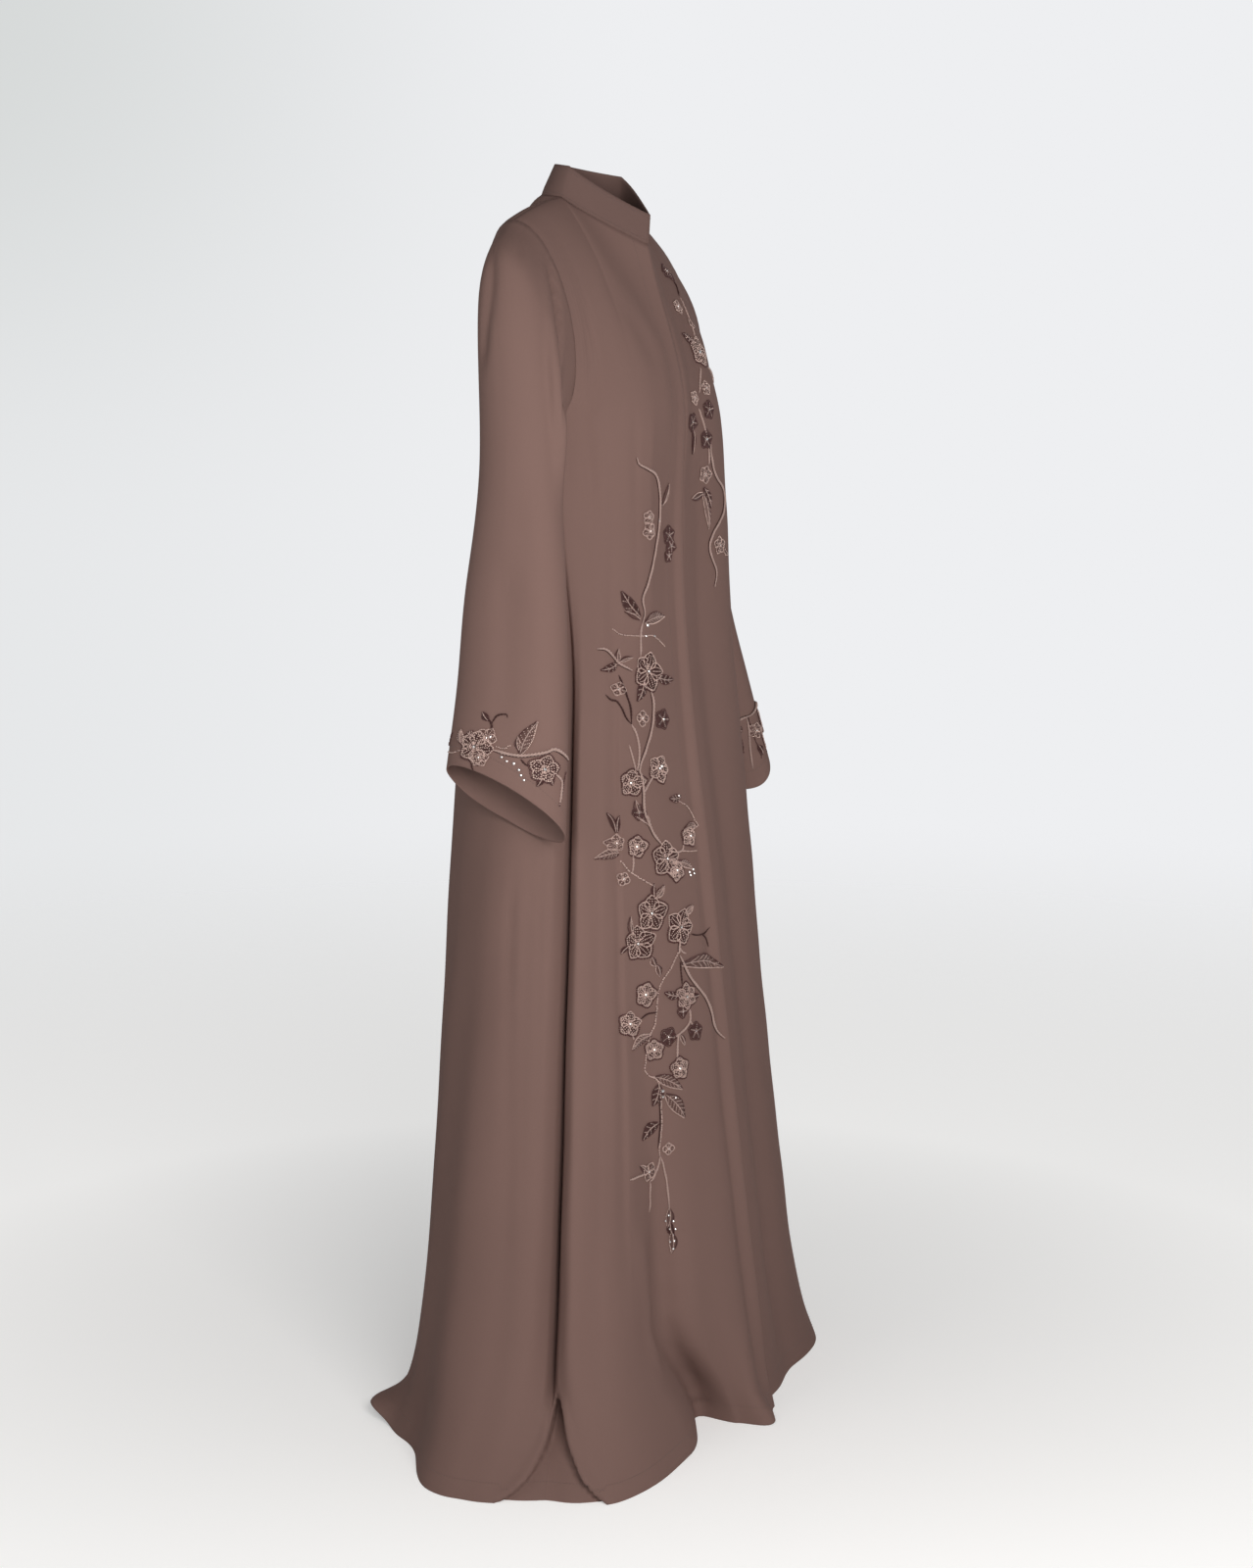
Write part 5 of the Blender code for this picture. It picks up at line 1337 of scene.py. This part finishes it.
def addLeaf(leaf):
    look = leafLook
    base, tip = np.array(leaf.base), np.array(leaf.tip)
    piece, centre = leaf.piece, tuple((base + tip) / 2.0)
    toFlat = np.linalg.inv(clothFrame(piece, *map(np.asarray, centre)))
    start, end = (toFlat @ (mark - centre) / (beadwork["widen"], 1.0) for mark in (base, tip))
    length = np.linalg.norm(end - start)
    out = (end - start) / length
    side = np.array((out[1], -out[0]))
    width, dark = leaf.width / 1000.0, leaf.tone == "dark"
    s = np.linspace(0.0, 1.0, 9)
    half = np.sin(math.pi * np.clip(s, 0.03, 0.97) ** look["lean"]) ** look["fullness"]
    half = 0.5 * width * half
    bend = side * beadRng.choice((-1.0, 1.0)) * length * look["bend"]
    spine = start + out * (s * length)[:, None] + bend * np.sin(math.pi * s)[:, None]
    rise = beadwork["leafRise"]
    tone = "darkThread" if dark else "midThread"
    addPatch(piece, centre, tone, spine, half * look["pad"], side, rise)
    small = leaf.width < beadwork["smallLeaf"]
    radius = beadwork["beadRadius"] * (look["smallBead"] if small else look["bead"])
    rib, facing = layOn(piece, centre, spine, rise * look["ribLift"])
    even = evenPath(rib, cordLook["step"])[0]
    normals = np.repeat(facing[:1], len(even), axis=0)
    addCord(piece, "lightThread", even, normals, look["ribMetres"])

    def row(tone, line, lift, *measures):
        addBeadRow(piece, tone, *layOn(piece, centre, line, lift), *measures)

    for way in (-1.0, 1.0):
        row("darkBeads" if dark or way < 0 else "lightBeads", spine + side * (half * way)[:, None],
            lifts["leafEdge"], radius, radius * look["edgeSpacing"], look["edgeStretch"])
        for i in () if small else range(1, 7):
            far = spine[i + 1] + side * half[i + 1] * way * look["barbReach"]
            row("lightBeads" if i % 2 or not dark else "darkBeads",
                np.linspace(spine[i], far, 4), rise * look["barbLift"],
                radius * look["barbBead"], radius * look["barbSpacing"])


def addStem(stem):
    look, piece, width = stemLook, stem.piece, stem.width / 1000.0
    path = smoothPath(stem.marks, look["steps"] * len(stem.marks))
    laid, facing = onCloth(piece, path[:, 0], path[:, 1])
    points, at = evenPath(laid, cordLook["step"])
    normals = unit(readAlong(at, runAlong(laid), facing))
    if stem.kind in ("light", "dark"):
        addCord(piece, stem.kind + "Thread", points, normals, width)
        if stem.kind == "light" and stem.width > beadwork["broadStem"]:
            side = unit(np.cross(np.gradient(points, axis=0), normals))
            beside = points + side * width * look["edgeOff"]
            addCord(piece, "darkThread", beside, normals, look["edgeMetres"])
        return
    tone = "darkBeads" if stem.kind == "darkbeads" else "lightBeads"
    addCord(piece, "darkThread", points, normals, look["coreMetres"])
    addBeadRow(piece, tone, points, normals, width * look["bead"], width * look["beadSpacing"],
               look["beadStretch"], look["beadLoose"])


def addGem(gem):
    points, facing = layOn(gem.piece, (gem.across, gem.along), np.zeros((1, 2)), lifts["gem"])
    radius = gem.size / 2000.0
    addGrains(gem.piece, "crystals", points + facing * radius * gemSink, facing,
              np.cross(facing, beadRun), radius)


for kind, table, add in (
    (Stem, stems, addStem), (Leaf, leaves, addLeaf),
    (Flower, flowers, addFlower), (Gem, gems, addGem),
):
    rows = [kind(piece, *row) for piece, group in table.items() for row in group]
    rows += [row._replace(piece="sleeve_left") for row in rows if row.piece == "sleeve_right"]
    for row in rows:
        add(row)
print("beadwork laid out")


# One tree sets every bead and stitch: a small round on each point, turned and sized by the point.
def grainTree():
    tree = bpy.data.node_groups.new("grains", "GeometryNodeTree")

    def socket(name, kind, way="INPUT"):
        return tree.interface.new_socket(name, in_out=way, socket_type="NodeSocket" + kind)

    socket("Points", "Geometry")
    sockets = {
        "detail": socket("Detail", "Int"), "seed": socket("Seed", "Int"),
        "uneven": socket("Uneven", "Float"), "finish": socket("Finish", "Material"),
    }
    socket("Grains", "Geometry", "OUTPUT")
    entry = addNode(tree, "NodeGroupInput").outputs
    leave = addNode(tree, "NodeGroupOutput")
    ball = addNode(tree, "GeometryNodeMeshIcoSphere", {
        "Radius": 1.0, "Subdivisions": entry["Detail"],
    })
    facing, run, shape = (
        addNode(tree, "GeometryNodeInputNamedAttribute", {"Name": name},
                data_type="FLOAT_VECTOR").outputs["Attribute"]
        for name in ("facing", "run", "shape")
    )
    alongRun = addNode(tree, "FunctionNodeAlignRotationToVector", {"Vector": run}, axis="X")
    toFacing = addNode(tree, "FunctionNodeAlignRotationToVector", {
        "Rotation": alongRun.outputs["Rotation"], "Vector": facing,
    }, axis="Z", pivot_axis="X")
    uneven = addNode(tree, "FunctionNodeRandomValue", {"Seed": entry["Seed"]}, data_type="FLOAT")
    for name, operation in (("Min", "SUBTRACT"), ("Max", "ADD")):
        bound = next(s for s in uneven.inputs if s.name == name and s.type == "VALUE")
        feed(tree, bound, mathNode(tree, operation, 1.0, entry["Uneven"]))
    size = addNode(tree, "ShaderNodeVectorMath", {
        0: shape, "Scale": next(s for s in uneven.outputs if s.type == "VALUE"),
    }, operation="SCALE")
    onPoints = addNode(tree, "GeometryNodeInstanceOnPoints", {
        "Points": entry["Points"], "Instance": ball.outputs["Mesh"],
        "Rotation": toFacing.outputs["Rotation"], "Scale": size.outputs[0],
    })
    real = addNode(tree, "GeometryNodeRealizeInstances", {
        "Geometry": onPoints.outputs["Instances"],
    })
    finish = addNode(tree, "GeometryNodeSetMaterial", {
        "Geometry": real.outputs["Geometry"], "Material": entry["Finish"],
    })
    feedAll(tree, leave, {"Grains": finish.outputs["Geometry"]})
    return tree, sockets


grainNodes, grainSockets = grainTree()
grainSeed = 3


def grainObject(name, parts, material, detail, uneven, flat=False):
    points, facing, run, shape = (np.concatenate([part[k] for part in parts]) for k in range(4))
    mesh = bpy.data.meshes.new(name + "Points")
    mesh.from_pydata(points.tolist(), [], [])
    for key, values in (("facing", facing), ("run", run), ("shape", shape)):
        layer = mesh.attributes.new(key, "FLOAT_VECTOR", "POINT")
        layer.data.foreach_set("vector", np.ascontiguousarray(values, np.float32).ravel())
    thing = bpy.data.objects.new(name, mesh)
    bpy.context.scene.collection.objects.link(thing)
    modifier = thing.modifiers.new("grains", "NODES")
    modifier.node_group = grainNodes
    settings = {"detail": detail, "seed": grainSeed, "uneven": uneven, "finish": material}
    for key, value in settings.items():
        modifier[grainSockets[key].identifier] = value
    grown = thing.evaluated_get(bpy.context.evaluated_depsgraph_get())
    made = bpy.data.meshes.new_from_object(grown)
    thing.modifiers.clear()
    thing.data = made
    if not flat:
        made.shade_smooth()
    return thing


# The thread's colour is painted darker, by the given share, where its band wave runs low, the same
# bands that make its bump: painted shade in the grooves of the twist.
threadLook = {"waves": 520.0, "waver": 2.0, "bump": 0.5, "bumpHeight": 0.0003, "grooveShade": 0.72}
threadShader = {"Roughness": 0.5, "Specular IOR Level": 0.18}
beadPatch = 420.0


def threadMaterial(name, colour, sheen):
    material, tree, shader = newMaterial(name)
    place = addNode(tree, "ShaderNodeUVMap", uv_map="clothMetres")
    wave = addNode(tree, "ShaderNodeTexWave", {
        "Vector": place.outputs["UV"], "Scale": threadLook["waves"],
        "Distortion": threadLook["waver"],
    }, wave_type="BANDS", bands_direction="DIAGONAL").outputs["Fac"]
    bump = addNode(tree, "ShaderNodeBump", {
        "Strength": threadLook["bump"], "Distance": threadLook["bumpHeight"], "Height": wave,
    })
    shade = mixColours(tree, wave, solid(colour, threadLook["grooveShade"]), solid(colour))
    feedAll(tree, shader, {
        "Base Color": shade, "Normal": bump.outputs["Normal"], "Sheen Weight": sheen,
    })
    feedAll(tree, shader, threadShader)
    return material


def beadMaterial(name, colour, metallic, roughness, spread):
    material, tree, shader = newMaterial(name)
    place = addNode(tree, "ShaderNodeTexCoord")
    patch = addNode(tree, "ShaderNodeTexNoise", {
        "Vector": place.outputs["Object"], "Scale": beadPatch,
    }).outputs["Fac"]
    shade = mixColours(tree, patch, solid(colour, 1.0 - spread), solid(colour, 1.0 + spread))
    feedAll(tree, shader, {"Base Color": shade, "Metallic": metallic, "Roughness": roughness})
    return material


# Thread: colour and sheen. Bead: colour, metallic, roughness and spread, then detail, uneven, flat.
threadFinish = {
    name: threadMaterial(name, *look) for name, look in (
        ("lightThread", ((0.50, 0.345, 0.30), 0.2)), ("midThread", ((0.130, 0.068, 0.058), 0.1)),
        ("darkThread", ((0.066, 0.028, 0.025), 0.0)),
    )
}
beadFinish = {
    name: (beadMaterial(name, *look), *form) for name, look, form in (
        ("lightBeads", ((0.60, 0.43, 0.375), 0.35, 0.26, 0.45), (1, 0.06, False)),
        ("darkBeads", ((0.105, 0.045, 0.042), 0.25, 0.24, 0.4), (1, 0.06, False)),
        ("crystals", ((0.92, 0.88, 0.86), 0.9, 0.10, 0.08), (2, 0.0, True)),
    )
}
homes = {
    "front_right": "vineRight", "front_left": "vineLeft",
    "sleeve_right": "cuffRight", "sleeve_left": "cuffLeft",
}
sewnOn = {name: [] for name in clothPieces}


def settle(thing, home):
    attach(thing, "root")
    sewnOn[home].append(thing)


for (home, tone), pile in threads.items():
    thing = meshObject(homes[home] + "_" + tone, np.concatenate(pile["verts"]).tolist(),
                       pile["faces"], np.concatenate(pile["uvs"]))
    thing.data.materials.append(threadFinish[tone])
    settle(thing, home)
for (home, tone), parts in grains.items():
    settle(grainObject(homes[home] + "_" + tone, parts, *beadFinish[tone]), home)
print("beadwork made")


# Seam and hem stitching, tonal and fine: the edge and how far in from it.
stitching = {
    "front_right": (("first", 0.004), ("first", 0.030), ("bottom", 0.021)),
    "front_left": (("bottom", 0.021),), "back": (("bottom", 0.021),),
    "sleeve_right": (("top", 0.021),), "sleeve_left": (("top", 0.021),),
    "collar": (("top", 0.004), ("bottom", 0.0035)),
}
stitchLook = {
    "pitch": 0.0034, "length": 0.0024, "radius": 0.00022, "flatness": 1.5, "uneven": 0.08,
    "colour": (0.150, 0.094, 0.080), "sheen": 0.2,
}


def insetLine(surface, edge, inset):
    points, normals = surface["points"], surface["normals"]
    away = edgeDistance(surface, edge)
    if edge in ("first", "last"):
        points, normals, away = (np.swapaxes(values, 0, 1) for values in (points, normals, away))
    if edge in ("last", "top"):
        points, normals, away = points[::-1], normals[::-1], away[::-1]
    line, facing = [], []
    for c in range(points.shape[1]):
        line.append([np.interp(inset, away[:, c], points[:, c, k]) for k in range(3)])
        facing.append([np.interp(inset, away[:, c], normals[:, c, k]) for k in range(3)])
    if surface["closed"]:
        line, facing = line + line[:1], facing + facing[:1]
    return np.array(line), unit(np.array(facing))


stitchMaterial = threadMaterial("stitchThread", stitchLook["colour"], stitchLook["sheen"])
stitchSizes = (
    stitchLook["length"] / 2, stitchLook["radius"] * stitchLook["flatness"], stitchLook["radius"],
)
for home, rows in stitching.items():
    parts = []
    for edge, inset in rows:
        line, facing = insetLine(surfaces[home], edge, inset)
        even, at = evenPath(line, stitchLook["pitch"])
        facing = unit(readAlong(at, runAlong(line), facing))
        shape = np.tile(stitchSizes, (len(even), 1))
        parts.append((even, facing, unit(np.gradient(even, axis=0)), shape))
    settle(grainObject(home + "_stitching", parts, stitchMaterial, 1, stitchLook["uneven"]), home)
print("stitching made")


# The studio: a pale floor that melts into a pale sky, a soft key light and a weak side light.
Light = namedtuple("Light", "name place aim size power colour")
studio = {
    "floorRadii": (0.8, 1.6, 2.4, 3.4, 4.6, 6.4, 9.0), "floorSides": 96,
    "floorColour": (0.80, 0.795, 0.785), "floorGlow": (0.35, 0.545), "glowEnds": (1.44, 1.80),
    "glowColour": (1.0, 0.995, 0.985), "floorEnds": (1.7, 4.6),
    "skyBright": (0.855, 0.862, 0.880), "skyDim": (0.665, 0.685, 0.680),
    "skyOver": (0.29, 0.293, 0.297), "skySide": (0.459, -0.889, 0.0), "ambient": 0.56,
    "dimAcross": (-0.30, 0.02, 1.0, 0.0), "dimUp": (-0.05, 0.17, 0.35, 1.0),
    "overUp": (0.20, 0.70, 0.0, 1.0),
    "lights": (
        Light("key", (-1.30, -1.16, -0.27), (0.0, 0.0, -0.50), 0.80, 21.5, (1.0, 0.985, 0.97)),
        Light("side", (-1.45, 0.46, -0.30), (-0.25, 0.0, -0.38), 0.8, 3.0, (1.0, 0.985, 0.97)),
    ),
    "camera": {
        "azimuth": -62.0, "distance": 2.8, "height": 1.15, "pitch": 8.4, "turn": 0.704,
        "lens": 54.0, "sensor": 36.0,
    },
}


def ramp(tree, value, low, high, first, last, shape="SMOOTHSTEP"):
    return addNode(tree, "ShaderNodeMapRange", {
        "From Min": low, "From Max": high, "To Min": first, "To Max": last, "Value": value,
    }, interpolation_type=shape).outputs["Result"]


# Glow and fade go by the distance from the cloak, and only the camera sees the glow.
def addFloor():
    count = studio["floorSides"]
    verts = [(0.0, 0.0, -neckPointHeight)]
    for radius in studio["floorRadii"]:
        for i in range(count):
            turn = 2 * math.pi * i / count
            verts.append((radius * math.sin(turn), radius * math.cos(turn), -neckPointHeight))
    faces = [(0, 1 + (i + 1) % count, 1 + i) for i in range(count)]
    for ring in range(len(studio["floorRadii"]) - 1):
        a = 1 + ring * count
        for i in range(count):
            after = (i + 1) % count
            faces.append((a + i, a + after, a + count + after, a + count + i))
    floor = meshObject("floor", verts, faces)
    material, tree, shader = newMaterial("paleFloor")
    place = addNode(tree, "ShaderNodeTexCoord").outputs["Object"]
    length = addNode(tree, "ShaderNodeVectorMath", {0: place}, operation="LENGTH").outputs["Value"]
    glow = ramp(tree, length, *studio["glowEnds"], *studio["floorGlow"], "LINEAR")
    seen = addNode(tree, "ShaderNodeLightPath").outputs["Is Camera Ray"]
    feedAll(tree, shader, {
        "Base Color": solid(studio["floorColour"]), "Roughness": 0.9, "Specular IOR Level": 0.1,
        "Emission Color": solid(studio["glowColour"]),
        "Emission Strength": mathNode(tree, "MULTIPLY", seen, glow),
        "Alpha": ramp(tree, length, *studio["floorEnds"], 1.0, 0.0),
    })
    floor.data.materials.append(material)


# Pale, dimmer to one side and overhead. The camera sees it in full, the cloth gets "ambient" of it.
def addSky():
    world = bpy.data.worlds.new("studioSky")
    bpy.context.scene.world = world
    world.use_nodes = True
    tree = world.node_tree
    place = addNode(tree, "ShaderNodeTexCoord").outputs["Generated"]
    up = addNode(tree, "ShaderNodeSeparateXYZ", {0: place}).outputs["Z"]
    across = addNode(tree, "ShaderNodeVectorMath", {0: place, 1: studio["skySide"]},
                     operation="DOT_PRODUCT").outputs["Value"]
    toDim = mathNode(tree, "MULTIPLY", ramp(tree, across, *studio["dimAcross"]),
                     ramp(tree, up, *studio["dimUp"]))
    colour = mixColours(tree, toDim, solid(studio["skyBright"]), solid(studio["skyDim"]))
    over = ramp(tree, up, *studio["overUp"])
    colour = mixColours(tree, over, colour, solid(studio["skyOver"]))
    seen = addNode(tree, "ShaderNodeLightPath").outputs["Is Camera Ray"]
    feedAll(tree, tree.nodes["Background"], {
        "Color": colour, "Strength": ramp(tree, seen, 0.0, 1.0, studio["ambient"], 1.0),
    })


def aimAt(thing, direction):
    thing.rotation_mode = "QUATERNION"
    thing.rotation_quaternion = Vector(direction).to_track_quat("-Z", "Y")


def addLights():
    for row in studio["lights"]:
        data = bpy.data.lights.new(row.name, "AREA")
        data.size, data.energy, data.color = row.size, row.power, row.colour
        light = bpy.data.objects.new(row.name, data)
        light.location = row.place
        light.visible_camera = False
        aimAt(light, Vector(row.aim) - Vector(row.place))
        bpy.context.scene.collection.objects.link(light)


def addCamera():
    setUp = studio["camera"]
    turn = math.radians(setUp["azimuth"])
    data = bpy.data.cameras.new("camera")
    data.sensor_width, data.lens = setUp["sensor"], setUp["lens"]
    camera = bpy.data.objects.new("camera", data)
    camera.location = (
        setUp["distance"] * math.sin(turn), -setUp["distance"] * math.cos(turn),
        setUp["height"] - neckPointHeight,
    )
    away = turn + math.radians(-setUp["turn"])
    pitch = math.radians(setUp["pitch"])
    level = math.cos(pitch)
    aimAt(camera, (-math.sin(away) * level, math.cos(away) * level, -math.sin(pitch)))
    bpy.context.scene.collection.objects.link(camera)
    bpy.context.scene.camera = camera


addFloor()
addSky()
addLights()
addCamera()
bpy.context.scene.view_settings.view_transform = "Standard"
print("studio set")
